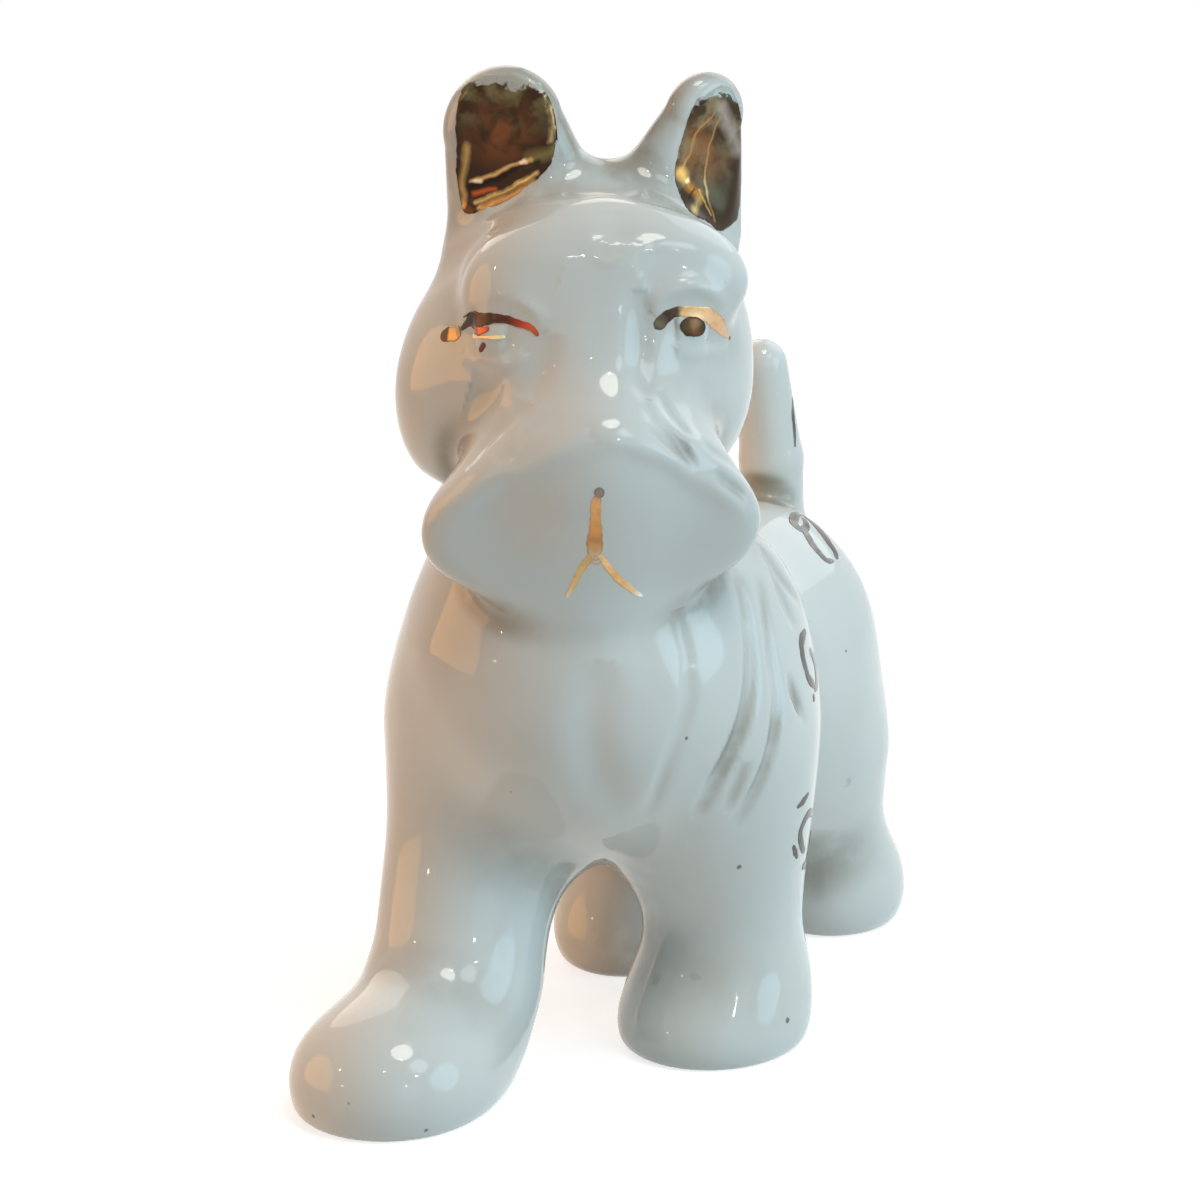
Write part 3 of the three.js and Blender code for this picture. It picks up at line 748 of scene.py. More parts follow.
@dataclass(frozen=True)
class Head(Casting):
    """Skull, brows, cheeks and a square muzzle, with the folds of the face. Its frame is the head's."""

    node: str = "head_casting"
    skull: Lump = Lump((0, 1, 66.5), (12.2, 12.5, 10.8))
    right_brow: Lump = Lump((-4.4, -6.9, 70.0), (6.3, 4.1, 4.6), (0, -11, 0))
    left_brow: Lump = Lump((5.5, -7.5, 70.3), (6.9, 4.2, 4.4), (0, 11, 0))
    face: Lump = Lump((0, -5, 60.5), (11.2, 8, 9.5))
    right_cheek: Lump = Lump((-11.3, 1.2, 59.8), (4.5, 6.4, 8.0))
    left_cheek: Lump = Lump((10.3, 1.2, 60.0), (4.5, 6.4, 8.0))
    bridge: Bar = Bar((0, -4, 65), (0, -11.5, 55.5), (6.5, 7))
    muzzle_inner: Bar = Bar((0, -12, 51.7), (5.2, -12, 51.0), (9.1, 7.5))
    muzzle_outer: Bar = Bar((5.2, -12, 51.0), (10.1, -11.6, 50.0), (7.5, 3.9))
    front: float = 17.6  # how far the flat front of the muzzle stands before the pivot, at the nose
    front_height: float = 55.0
    front_tilt: float = 16.0  # degrees that it looks down
    front_sweep: float = 0.2  # how much it falls back to each side
    blend: float = 4.0
    ridge_blend: float = 1.5
    muzzle_blend: float = 2.0
    forehead: tuple[Crease, ...] = (
        Crease(((0.8, -9.5, 77.2), (0.8, -11, 75.8), (0.8, -12, 74.0)), 1.6, 0.7),
        Crease(((-1.6, -11.3, 73.4), (-0.7, -11.8, 72.3), (0.4, -11.9, 72.0), (1.8, -11.7, 72.4),
                (3.6, -11.1, 73.5)), 0.5, -0.12),
        Crease(((-12.4, -8.3, 69.9), (-10.2, -10.7, 71.5), (-7.1, -11.8, 71.6), (-3.9, -12.3, 70.6)), 1.5,
               0.4),
        Crease(((2.7, -12.2, 70.9), (4.7, -12.1, 71.7), (7.6, -11.7, 71.7), (10.3, -10.8, 70.6)), 1.4, 0.4),
        Crease(((-12.4, 2.4, 71.2), (-10.3, -0.9, 72.9), (-7.9, -3.4, 74.4), (-3.5, -6.0, 75.8),
                (0.8, -6.1, 76.0), (4.7, -7.3, 75.4), (9.2, -7.5, 73.8), (10.8, -9.3, 72.1)), 1.3, -0.3),
    )
    eyes: tuple[Crease, ...] = (
        Crease(((-11.6, -6.1, 65.8), (-10.9, -10.2, 68.5), (-8.6, -11.5, 69.2), (-6.2, -12.0, 68.4),
                (-4.9, -12.3, 67.0)), 0.7, -0.3),
        Crease(((3.6, -12.5, 68.0), (4.8, -12.2, 69.2), (6.8, -12.0, 69.9), (8.7, -11.5, 69.4),
                (10.4, -10.1, 67.6)),
               0.7, -0.34),
        Crease(((-10.6, -9.2, 65.6), (-9.2, -10.1, 65.7), (-7.8, -11.0, 65.8)), 1.5, -0.5),
        Crease(((5.8, -11.9, 66.2), (7.3, -11.3, 66.1), (8.8, -10.4, 66.0)), 1.5, -0.5),
        Crease(((-11.1, -7.4, 64.1), (-9.7, -9.2, 63.6), (-7.8, -11.1, 63.7), (-6.4, -12.0, 64.8)), 0.65,
               -0.22),
        Crease(((5.6, -12.3, 65.2), (7.3, -11.4, 64.4), (9.4, -9.6, 64.3), (11.1, -7.4, 64.7)), 0.65, -0.22),
        Crease(((-10.4, -8.4, 61.6), (-9.0, -9.5, 61.0), (-7.4, -10.8, 61.0)), 2.0, 0.35),
    )
    folds: tuple[Crease, ...] = (
        Crease(((2.8, -12.3, 69.7), (3.0, -12.7, 67.4), (3.0, -13.5, 65.0), (2.9, -14.9, 63.0),
                (3.6, -15.7, 61.3)),
               1.0, 0.45),
        Crease(((-4.6, -12.5, 66.6), (-5.0, -12.8, 64.7), (-5.6, -13.3, 62.7), (-6.3, -13.8, 61.2)), 1.3,
               0.35),
        Crease(((3.2, -16.2, 61.4), (3.9, -17.3, 60.1), (5.0, -17.1, 59.1), (6.1, -17.0, 57.9),
                (7.0, -16.6, 56.5), (7.6, -16.3, 54.8)), 0.55, 0.36),
        Crease(((3.1, -18.0, 59.8), (4.1, -17.9, 58.9), (5.2, -17.7, 57.9), (6.3, -17.1, 56.8),
                (7.1, -16.6, 55.3)),
               0.5, 0.25),
        Crease(((4.5, -14.5, 62.3), (5.1, -15.5, 60.8), (6.1, -16.1, 59.5), (7.3, -16.1, 58.3)), 0.55, 0.3),
        Crease(((8.1, -15.6, 57.9), (9.4, -14.9, 56.8), (10.8, -14.0, 55.8), (11.8, -13.0, 55.0)), 0.55, 0.3),
        Crease(((9.1, -15.7, 55.3), (10.4, -14.9, 54.1), (11.6, -14.1, 53.1), (12.5, -13.5, 51.7)), 0.55,
               0.3),
        Crease(((-6.0, -14.1, 61.2), (-7.9, -13.9, 59.4), (-9.4, -13.5, 57.7), (-10.9, -14.0, 55.6)), 0.7,
               0.2),
        Crease(((-3.8, -16.4, 61.0), (-6.9, -16.4, 58.4), (-8.7, -15.7, 56.5)), 0.7, 0.2),
        Crease(((-1.5, -18.6, 59.1), (2.6, -18.7, 58.0), (5.4, -17.6, 56.6), (8.0, -16.1, 54.7),
                (10.9, -14.5, 52.7), (12.7, -13.4, 51.4)), 0.9, -0.34),
        Crease(((-1.5, -18.6, 59.1), (-4.0, -18.3, 57.6), (-6.5, -17.1, 55.8), (-8.3, -16.1, 55.4),
                (-10.9, -14.6, 53.2), (-12.7, -13.3, 52.0)), 0.9, -0.34),
    )

    def behind(self) -> tuple[Lump | Bar, ...]:
        """Lists the lumps and bars of the head behind the muzzle."""
        return (self.skull, self.right_brow, self.left_brow, self.right_cheek, self.left_cheek, self.face,
                self.bridge)

    def muzzle(self) -> tuple[Bar, ...]:
        """Lists the bars of the muzzle, from the middle to each corner."""
        return (self.muzzle_inner, self.muzzle_outer, mirrored(self.muzzle_inner),
                mirrored(self.muzzle_outer))

    def muzzle_front(self) -> Form:
        """Gives the flat front of the muzzle as a cutter."""
        tilt = math.radians(self.front_tilt)

        def distance(points: Points) -> Points:
            """Measures how far each point lies before the flat front."""
            forward = -points[:, 1] + self.front_sweep * np.hypot(points[:, 0], 2) - self.front
            return forward * math.cos(tilt) - (points[:, 2] - self.front_height) * math.sin(tilt)

        return distance

    def form(self) -> Form:
        """Gives the head's form."""
        muzzle = joined(self.muzzle_blend, *(bar.form() for bar in self.muzzle()))
        square = pressed(muzzle, self.muzzle_front(), self.ridge_blend)
        whole = joined(self.blend, *(shape.form() for shape in self.behind()), square)
        return within(placed(whole, IN_HEAD), (-32, -52, 30), (32, 16, 90))

    def model(self, bm: bmesh.types.BMesh) -> None:
        """Adds the head to the rough model."""
        for shape in (*self.behind(), *self.muzzle()):
            shape.add_to(bm, IN_HEAD)

    def takes(self) -> list[bmesh.types.BMesh]:
        """Makes the blocks of the ears."""
        return [ear_block("right_ear"), ear_block("left_ear")]

    def seed(self) -> Triple:
        """Gives a point on the muzzle."""
        return from_head((0, -18, 53))


@dataclass(frozen=True)
class Ear(Casting):
    """A flattened cone with a shallow dish in its front. Its frame stands at its root."""

    root: Triple
    tip: Triple
    radii: tuple[float, float]
    yaw: float  # degrees that the dish looks to the dog's left
    dish: Lump
    flatness: float = 0.54  # thickness over width
    dish_depth: float = 1.0
    dish_blend: float = 1.4

    def matrix(self) -> Matrix:
        """Gives the ear's frame."""
        return IN_HEAD @ Matrix.Translation(self.root) @ Matrix.Rotation(math.radians(self.yaw), 4, "Z")

    def squash(self) -> Matrix:
        """Gives the flattening of the cone."""
        return Matrix.Diagonal((1, self.flatness, 1, 1))

    def cone(self) -> Bar:
        """Gives the cone before it is flattened."""
        way = Matrix.Rotation(-math.radians(self.yaw), 3, "Z") @ (Vector(self.tip) - Vector(self.root))
        return Bar((0, 0, 0), tuple(self.squash().inverted() @ way), self.radii)

    def form(self) -> Form:
        """Gives the ear's form."""
        cone = placed(self.cone().form(), self.squash())
        x, y, z = self.dish.at
        hollow = Lump((x, y - self.dish.half[1] + self.dish_depth, z), self.dish.half).form()
        blade = pressed(lambda points: self.flatness * cone(points), lambda points: -hollow(points),
                        self.dish_blend)
        return within(placed(blade, self.matrix()), (-32, -40, 56), (32, 16, 100))

    def model(self, bm: bmesh.types.BMesh) -> None:
        """Adds the ear to the rough model."""
        self.cone().add_to(bm, self.matrix() @ self.squash())

    def keeps(self) -> list[bmesh.types.BMesh]:
        """Makes the block beyond the ear's joint."""
        return [ear_block(self.node)]

    def seed(self) -> Triple:
        """Gives a point at the tip."""
        return from_head(self.tip)


@dataclass(frozen=True)
class Leg(Casting):
    """A leg, with a bar from the body to the pastern and lumps for the thigh and the paw."""

    bar: Bar
    lumps: tuple[Lump, ...]
    foot: Triple
    blend: float = 7.0
    reach: float = 9.0  # how far from its shapes a leg is felt

    def shapes(self) -> tuple[Lump | Bar, ...]:
        """Lists the bar and the lumps."""
        return (self.bar, *self.lumps)

    def form(self) -> Form:
        """Gives the leg's form."""
        low = [min(s.at[k] - s.half[k] for s in self.lumps) for k in range(2)]
        high = [max(s.at[k] + s.half[k] for s in self.lumps) for k in range(2)]
        for end, radius in zip((self.bar.start, self.bar.end), self.bar.radii):
            low = [min(low[k], end[k] - radius) for k in range(2)]
            high = [max(high[k], end[k] + radius) for k in range(2)]
        whole = joined(self.blend, *(shape.form() for shape in self.shapes()))
        lowest = (low[0] - self.reach, low[1] - self.reach, -FAR)
        return within(whole, lowest, (high[0] + self.reach, high[1] + self.reach, FAR))

    def keeps(self) -> list[bmesh.types.BMesh]:
        """Makes the block beyond the joint, and the block over the ground."""
        return [leg_block(self.node), block(((0, 0, 0), (0, 0, 1)))]

    def seed(self) -> Triple:
        """Gives a point on the sole."""
        return self.foot


@dataclass(frozen=True)
class Tail(Casting):
    """A short tail that stands up and bends forward at its tip."""

    node: str = "tail"
    root: Bar = Bar((-0.1, 29.9, 36), (0.2, 28.1, 46), (3.0, 3.1))
    tip: Bar = Bar((0.2, 28.1, 46), (-0.3, 26.5, 55.4), (3.1, 2.5))
    blend: float = 0.4

    def shapes(self) -> tuple[Lump | Bar, ...]:
        """Lists the two bars."""
        return (self.root, self.tip)

    def form(self) -> Form:
        """Gives the tail's form."""
        whole = joined(self.blend, self.root.form(), self.tip.form())
        return within(whole, (-12, 14, 24), (12, 42, 66))

    def seed(self) -> Triple:
        """Gives a point at the tip."""
        return self.tip.end


EARS = (
    Ear(
        node="right_ear",
        root=(-5.4, 2, 74),
        tip=(-7.8, 1, 81.6),
        radii=(6.9, 5.2),
        yaw=-22,
        dish=Lump((-1.4, -4, 6.2), (4.0, 2, 6.6)),
    ),
    Ear(
        node="left_ear",
        root=(7.1, 2, 74),
        tip=(9.1, 1, 82.4),
        radii=(6.9, 3.7),
        yaw=22,
        dish=Lump((1.9, -3.8, 5.0), (3.4, 2, 6.2)),
    ),
)

LEGS = (
    Leg(
        node="front_right_leg",
        bar=Bar((-9.1, -15, 28), (-8.4, -21.9, 9.5), (7.8, 7.5)),
        lumps=(Lump((-9.0, -30.6, 2.6), (7.8, 10, 6.1), (0, 0, -22)),
               Lump((-8.1, -34.9, 3.0), (5.9, 6, 5.0))),
        foot=(-9, -32, 0),
    ),
    Leg(
        node="front_left_leg",
        bar=Bar((10.2, -9, 28), (9.8, -5, 8), (7.3, 6.9)),
        lumps=(Lump((9.2, -7, 1.6), (8.0, 8.8, 5.2)),),
        foot=(9, -6, 0),
    ),
    Leg(
        node="rear_right_leg",
        bar=Bar((-7, 17, 18), (-6.8, 12, 7), (6.2, 5.2)),
        lumps=(Lump((-6.5, 18.5, 23), (6.2, 9.5, 12)), Lump((-6.6, 10, 2.6), (6.6, 7.6, 5.2))),
        foot=(-6.6, 10, 0),
    ),
    Leg(
        node="rear_left_leg",
        bar=Bar((6.7, 25.2, 18), (7.0, 29, 7), (5.8, 4.9)),
        lumps=(Lump((6.2, 20.7, 23), (5.9, 9.5, 12)), Lump((6.9, 29.2, 2.4), (6.3, 7.2, 5.0))),
        foot=(7.5, 28, 0),
    ),
)


class Terrier:
    """The whole dog in clay: one form, and one closed skin that lies on it."""

    neck_blend = 2.6
    ear_blend = 3.0
    shoulder_blend = 6.0
    tail_blend = 2.0
    sole_blend = 1.3
    sole_depth = 0.25
    voxel = 0.42
    rounds = 6
    evening = 0.6  # how far each point moves towards the middle of its neighbours in a round

    def __init__(self) -> None:
        """Takes the parts of the dog."""
        self.body = Body()
        self.head = Head()
        self.tail = Tail()
        self.form = self.whole_form()

    def castings(self) -> tuple[Casting, ...]:
        """Lists the nine castings."""
        return (self.body, self.head, *EARS, *LEGS, self.tail)

    def whole_form(self) -> Form:
        """Joins the forms of all parts, and draws the creases in them.

        Returns:
            The form of the dog's skin.
        """
        ears = joined(self.ear_blend, *(ear.form() for ear in EARS))
        head = joined(self.ear_blend, self.head.form(), ears)
        trunk = joined(self.neck_blend, self.body.form(), head)
        trunk = joined(self.tail_blend, trunk, self.tail.form())
        legs = [leg.form() for leg in LEGS]
        creases = [crease.form(IN_HEAD) for crease in (*self.head.forehead, *self.head.eyes,
                                                       *self.head.folds)]
        creases += [crease.form() for crease in self.body.creases]

        def distance(points: Points) -> Points:
            """Measures how far the dog's skin lies.

            Args:
                points: Where to measure.

            Returns:
                The distance from each point.
            """
            bare = trunk(points)
            made = bare
            for leg in legs:
                other = leg(points)
                made = np.minimum(made, np.minimum(bare, other) - softening(bare - other,
                                                                            self.shoulder_blend))
            for crease in creases:
                made = made + crease(points)
            floor = -self.sole_depth - points[:, 2]
            return np.maximum(made, floor) + softening(made - floor, self.sole_blend)

        return distance

    def rough_model(self) -> bpy.types.Object:
        """Makes the dog of plain lumps and bars, and makes one closed mesh of them."""
        bm = bmesh.new()
        for casting in self.castings():
            casting.model(bm)
        model = object_from(bm, "rough_model")
        remesh = model.modifiers.new("one_skin", "REMESH")
        remesh.mode = "VOXEL"
        remesh.voxel_size = self.voxel
        apply_modifiers(model)
        return model

    def skin(self) -> bpy.types.Object:
        """Makes the skin of the dog: the rough model, drawn onto the form and evened out.

        Returns:
            The skin, a closed mesh in millimetres.
        """
        model = self.rough_model()
        mesh = model.data
        places = places_of(mesh)
        ends = np.empty(2 * len(mesh.edges), dtype=np.int64)
        mesh.edges.foreach_get("vertices", ends)
        first, second = ends.reshape(-1, 2).T
        count = np.bincount(ends, minlength=len(places))[:, None]
        for _ in range(self.rounds):
            value, slope = slope_of(self.form, places)
            places += step_onto(value, slope)
            around = [
                np.bincount(first, places[second, k], len(places)) + np.bincount(second, places[first, k],
                                                                                 len(places))
                for k in range(3)
            ]
            pull = np.stack(around, axis=1) / count - places
            rise = (pull * slope).sum(axis=1, keepdims=True) / steepness_of(slope)
            places += self.evening * (pull - slope * rise)
        places = settled(self.form, places, 2)
        move_to(mesh, places)
        log.info("skin: %d points", len(places))
        return model


# Pieces


def in_frame(places: Points) -> Points:
    """Brings points from the potter's frame, in millimetres, into the fixed frame, in metres."""
    return (places - FRAME_MIDDLE) * MM


def mark(mesh: bpy.types.Mesh, name: str, values: Points) -> None:
    """Stores a number for each point of a mesh, for its finish to read."""
    layer = mesh.attributes.new(name, "FLOAT", "POINT")
    layer.data.foreach_set("value", values.astype(np.float32))


def make_piece(made: bpy.types.Object, node: str, slot: Slot) -> None:
    """Hangs a finished mesh on the root body and hides the node of the fixed frame that it stands for.

    Args:
        made: The mesh's object.
        node: The node that it replaces.
        slot: A material slot, which is not used.
    """
    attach(made, "root")
    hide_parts(node)
    log.info("%s: %d points", made.name, len(made.data.vertices))


def shade_smoothly(mesh: bpy.types.Mesh, form: Form) -> None:
    """Gives the skin's faces the form's own directions, so that no joint shows, and leaves cuts flat.

    Args:
        mesh: The mesh, in the potter's frame.
        form: The form of the skin.
    """
    count = len(mesh.polygons)
    mesh.shade_smooth()
    middles, flat = np.empty((2, 3 * count))
    mesh.polygons.foreach_get("center", middles)
    mesh.polygons.foreach_get("normal", flat)
    middles, flat = middles.reshape(-1, 3), flat.reshape(-1, 3)
    sides = np.empty(count, dtype=np.int64)
    mesh.polygons.foreach_get("loop_total", sides)
    corners = np.empty(len(mesh.loops), dtype=np.int64)
    mesh.loops.foreach_get("vertex_index", corners)
    facing = (outward(form, middles) * flat).sum(axis=1)
    on_skin = (np.abs(form(middles)) < SKIN_GAP) & (facing > SKIN_FACING)
    smooth = outward(form, places_of(mesh))[corners]
    chosen = np.where(np.repeat(on_skin, sides)[:, None], smooth, np.repeat(flat, sides, axis=0))
    mesh.normals_split_custom_set(chosen.tolist())


def mark_hollows(mesh: bpy.types.Mesh, form: Form) -> None:
    """Marks hollows, where the glaze pools and painted shade is laid, and crests, where the glaze runs thin.

    Args:
        mesh: The mesh, in the potter's frame.
        form: The form of the skin.
    """
    places = places_of(mesh)
    out = outward(form, places)
    hollow = np.zeros(len(places))
    crest = np.zeros(len(places))
    for reach in HOLLOW_REACHES:
        hollow += np.clip(1 - form(places + reach * out) / reach, 0, 1) / len(HOLLOW_REACHES)
        crest += np.clip(1 + form(places - reach * out) / reach, 0, 1) / len(HOLLOW_REACHES)
    mark(mesh, "hollow", hollow)
    mark(mesh, "crest", crest)


class Film:
    """A thin closed film of gold or enamel on the glaze, made of one or more sheets."""

    lift = 0.035  # of the film's top over the glaze
    step = 0.012  # by which each further sheet lies higher
    thickness = 0.06

    def __init__(self, node: str, form: Form) -> None:
        """Starts a film for a node, on the form of the skin."""
        self.node = node
        self.form = form
        self.bm = bmesh.new()
        self.uv = self.bm.loops.layers.uv.new("brush")
        self.rims: list[Points] = []

    def add_sheet(self, columns: int, rows: int, place: Callable[[Points],
                                                                 tuple[Points, Points, Points]]) -> None:
        """Lays one sheet on the glaze.

        Args:
            columns: Its number of squares across.
            rows: Its number of squares along.
            place: Gives, for the sheet's grid from -1 to 1 each way, a place on the skin for each of its
                points, the brush's own coordinates there, and how near the rim it lies, from 0 to 1.
        """
        number = len(self.rims)
        sheet = bmesh.ops.create_grid(self.bm, x_segments=columns, y_segments=rows, size=1)["verts"]
        grid = np.array([vert.co[:2] for vert in sheet])
        places, brush, rim = place(grid)
        out = outward(self.form, places)
        order = {vert: k for k, vert in enumerate(sheet)}
        for vert, k in order.items():
            vert.co = places[k] + (self.lift + number * self.step) * out[k]
        faces = list({face for vert in sheet for face in vert.link_faces})
        for face in faces:
            face.material_index = number
            face.normal_update()
            for loop in face.loops:
                loop[self.uv].uv = brush[order[loop.vert]]
        facing = sum(face.normal.dot(Vector(out[order[face.verts[0]]])) for face in faces)
        if facing < 0:
            bmesh.ops.reverse_faces(self.bm, faces=faces)
        self.rims.append(rim)

    def finish(self, slot: Slot) -> bpy.types.Object:
        """Gives the sheets their thickness and makes a piece of them.

        Args:
            slot: The material slot.

        Returns:
            The film, in the fixed frame.
        """
        made = object_from(self.bm, "painted_" + self.node)
        mark(made.data, "rim", np.concatenate(self.rims))
        wall = made.modifiers.new("thickness", "SOLIDIFY")
        wall.thickness = self.thickness
        wall.offset = -1
        apply_modifiers(made)
        made.data.shade_smooth()
        move_to(made.data, in_frame(places_of(made.data)))
        make_piece(made, self.node, slot)
        return made


# Finishes


class Bench:
    """Adds nodes to one tree and wires them, from left to right."""

    def __init__(self, tree: bpy.types.NodeTree) -> None:
        """Takes the tree and empties it."""
        self.tree = tree
        tree.nodes.clear()
        self.count = 0

    def add(self, kind: str, settings: dict | None = None, **sockets: object) -> bpy.types.Node:
        """Adds a node.

        Args:
            kind: The node's type.
            settings: Its own settings.
            **sockets: A value, or another node's output, for each input. Underscores stand for spaces.

        Returns:
            The node.
        """
        node = self.tree.nodes.new(kind)
        node.location = (180 * self.count, -60 * (self.count % 5))
        self.count += 1
        for name, value in (settings or {}).items():
            setattr(node, name, value)
        for name, value in sockets.items():
            self.wire(value, self.socket(node, name))
        return node

    @staticmethod
    def socket(node: bpy.types.Node, name: str) -> bpy.types.NodeSocket:
        """Finds an input by its name, or by its number as in in_1."""
        if name.startswith("in_"):
            return node.inputs[int(name[3:])]
        return node.inputs[name.replace("_", " ")]

    def wire(self, value: object, socket: bpy.types.NodeSocket) -> None:
        """Sets an input to a value, or links it to an output."""
        if isinstance(value, bpy.types.NodeSocket):
            self.tree.links.new(value, socket)
        else:
            socket.default_value = value

    def math(self, operation: str, a: object, b: object = 0.0, clamp: bool = False) -> bpy.types.NodeSocket:
        """Adds a sum or another operation on two numbers and gives its output."""
        return self.add("ShaderNodeMath", {"operation": operation, "use_clamp": clamp}, in_0=a,
                        in_1=b).outputs[0]

    def vector_math(self, operation: str, a: object, b: object = (0.0, 0.0, 0.0)) -> bpy.types.Node:
        """Adds an operation on two vectors and gives its node."""
        return self.add("ShaderNodeVectorMath", {"operation": operation}, in_0=a, in_1=b)

    def ramp(self, value: object, low: float, high: float) -> bpy.types.NodeSocket:
        """Turns a number into a mask that goes smoothly from 0 at low to 1 at high."""
        node = self.add("ShaderNodeMapRange", {"interpolation_type": "SMOOTHSTEP"}, Value=value, From_Min=low,
                        From_Max=high)
        return node.outputs["Result"]

    def blend(self, share: object, first: object, second: object) -> bpy.types.NodeSocket:
        """Mixes two colours and gives the output."""
        node = self.add("ShaderNodeMix", {"data_type": "RGBA"}, in_0=share, in_6=first, in_7=second)
        return node.outputs[2]

    def stations(self, value: object, colours: Sequence[tuple[float, Triple]]) -> bpy.types.NodeSocket:
        """Turns a share of the way from 0 to 1 into a colour.

        Args:
            value: The share.
            colours: The share of each station along the way, and its colour.

        Returns:
            The colour's output.
        """
        node = self.add("ShaderNodeValToRGB", Fac=value)
        scale = node.color_ramp.elements
        scale[0].position = colours[0][0]
        scale[0].color = (*colours[0][1], 1)
        scale[1].position = colours[-1][0]
        scale[1].color = (*colours[-1][1], 1)
        for at, colour in colours[1:-1]:
            scale.new(at).color = (*colour, 1)
        return node.outputs["Color"]

    def noise(self, place: object, scale: float, detail: float = 2.0,
              twist: float = 0.0) -> bpy.types.NodeSocket:
        """Adds a noise and gives its value."""
        node = self.add("ShaderNodeTexNoise", Vector=place, Scale=scale, Detail=detail, Distortion=twist)
        return node.outputs["Fac"]

    def mottle(self, place: object, look: "Mottle") -> bpy.types.NodeSocket:
        """Adds a mask of soft patches and gives its output."""
        noise = self.noise(place, look.scale, look.detail, look.twist)
        return self.math("MULTIPLY", self.ramp(noise, look.low, look.high), look.strength)

    def place(self) -> bpy.types.NodeSocket:
        """Gives the place on the object, in metres."""
        return self.add("ShaderNodeTexCoord").outputs["Object"]

    def brush(self) -> tuple[bpy.types.NodeSocket, bpy.types.NodeSocket]:
        """Gives the place across a touch of the brush, from -1 to 1, and along it, from 0 to 1."""
        node = self.add("ShaderNodeSeparateXYZ", Vector=self.add("ShaderNodeUVMap",
                                                                 {"uv_map": "brush"}).outputs[0])
        return node.outputs["X"], node.outputs["Y"]

    def read(self, name: str) -> bpy.types.NodeSocket:
        """Gives a number that is stored on the mesh."""
        return self.add("ShaderNodeAttribute", {"attribute_name": name}).outputs["Fac"]

    def use(self, tree: bpy.types.NodeTree, **sockets: object) -> bpy.types.NodeSocket:
        """Places a shared group and gives its one output."""
        return self.add("ShaderNodeGroup", {"node_tree": tree}, **sockets).outputs[0]


@dataclass(frozen=True)
class Mottle:
    """Soft patches: the noise's scale and detail, the levels between which they rise, and their strength."""

    scale: float
    detail: float
    low: float
    high: float
    strength: float = 1.0
    twist: float = 0.0


def group(name: str, inputs: dict[str, float | Triple], output: str) -> tuple[Bench, Callable,
                                                                              bpy.types.NodeSocket]:
    """Starts a shared node group.

    Args:
        name: The group's name.
        inputs: Its inputs with their usual values, a number or a vector each.
        output: Its output, a number.

    Returns:
        A bench on the group, a way to read its inputs, and its output's socket.
    """
    tree = bpy.data.node_groups.new(name, "ShaderNodeTree")
    for label, value in inputs.items():
        kind = "NodeSocketVector" if isinstance(value, tuple) else "NodeSocketFloat"
        socket = tree.interface.new_socket(label, in_out="INPUT", socket_type=kind)
        socket.default_value = value
    tree.interface.new_socket(output, in_out="OUTPUT", socket_type="NodeSocketFloat")
    bench = Bench(tree)
    given = bench.add("NodeGroupInput")
    made = bench.add("NodeGroupOutput")
    return bench, lambda label: given.outputs[label], made.inputs[output]


NOWHERE = (0.0, 0.0, 0.0)
BLACK = (0.0, 0.0, 0.0)
WHITE = (1.0, 1.0, 1.0)


def spot_group() -> bpy.types.NodeTree:
    """Builds a ragged spot at one place, such as a speck of iron or a smear of dirt.

    Returns:
        A group with the mask of the spot.
    """
    bench, given, made = group("ragged_spot", {"Place": NOWHERE, "Middle": NOWHERE, "Size": 0.0003,
                                               "Ragged": 0.5},
                               "Mask")
    apart = bench.vector_math("DISTANCE", given("Place"), given("Middle")).outputs["Value"]
    share = bench.math("DIVIDE", apart, given("Size"))
    grain = 2200.0
    whole = 1.25  # how far it reaches before its edge is eaten away
    sharpness = 2.5
    edge = bench.math("MULTIPLY", bench.noise(given("Place"), grain), given("Ragged"))
    inside = bench.math("SUBTRACT", bench.math("SUBTRACT", whole, edge), share)
    bench.wire(bench.math("MULTIPLY", inside, sharpness, clamp=True), made)
    return bench.tree


def specks_group() -> bpy.types.NodeTree:
    """Builds the dark specks that iron in the clay leaves in a glaze.

    Returns:
        A group with the mask of the specks.
    """
    bench, given, made = group("iron_specks", {"Place": NOWHERE, "Spacing": 160.0, "Size": 0.03,
                                               "Share": 0.1}, "Mask")
    cells = bench.add("ShaderNodeTexVoronoi", Vector=given("Place"), Scale=given("Spacing"))
    apart = bench.math("SUBTRACT", given("Size"), cells.outputs["Distance"])
    sharpness = 90.0
    spot = bench.math("MULTIPLY", apart, sharpness, clamp=True)
    pick = bench.add("ShaderNodeSeparateColor", Color=cells.outputs["Color"]).outputs[0]
    chosen = bench.math("LESS_THAN", pick, given("Share"))
    bench.wire(bench.math("MULTIPLY", spot, chosen), made)
    return bench.tree


def ripple_group() -> bpy.types.NodeTree:
    """Builds the slow ripple of a surface that has run before it set.

    Returns:
        A group with the height of the ripple, in metres.
    """
    bench, given, made = group("glaze_ripple", {"Place": NOWHERE, "Broad": 1.0, "Fine": 1.0}, "Height")
    waves = (("Broad", 95.0, 1.0, 0.0004), ("Fine", 420.0, 2.0, 0.00002))  # input, scale, detail, height
    total = 0.0
    for label, scale, detail, height in waves:
        wave = bench.math("MULTIPLY", bench.noise(given("Place"), scale, detail), given(label))
        total = bench.math("ADD", total, bench.math("MULTIPLY", wave, height))
    bench.wire(total, made)
    return bench.tree


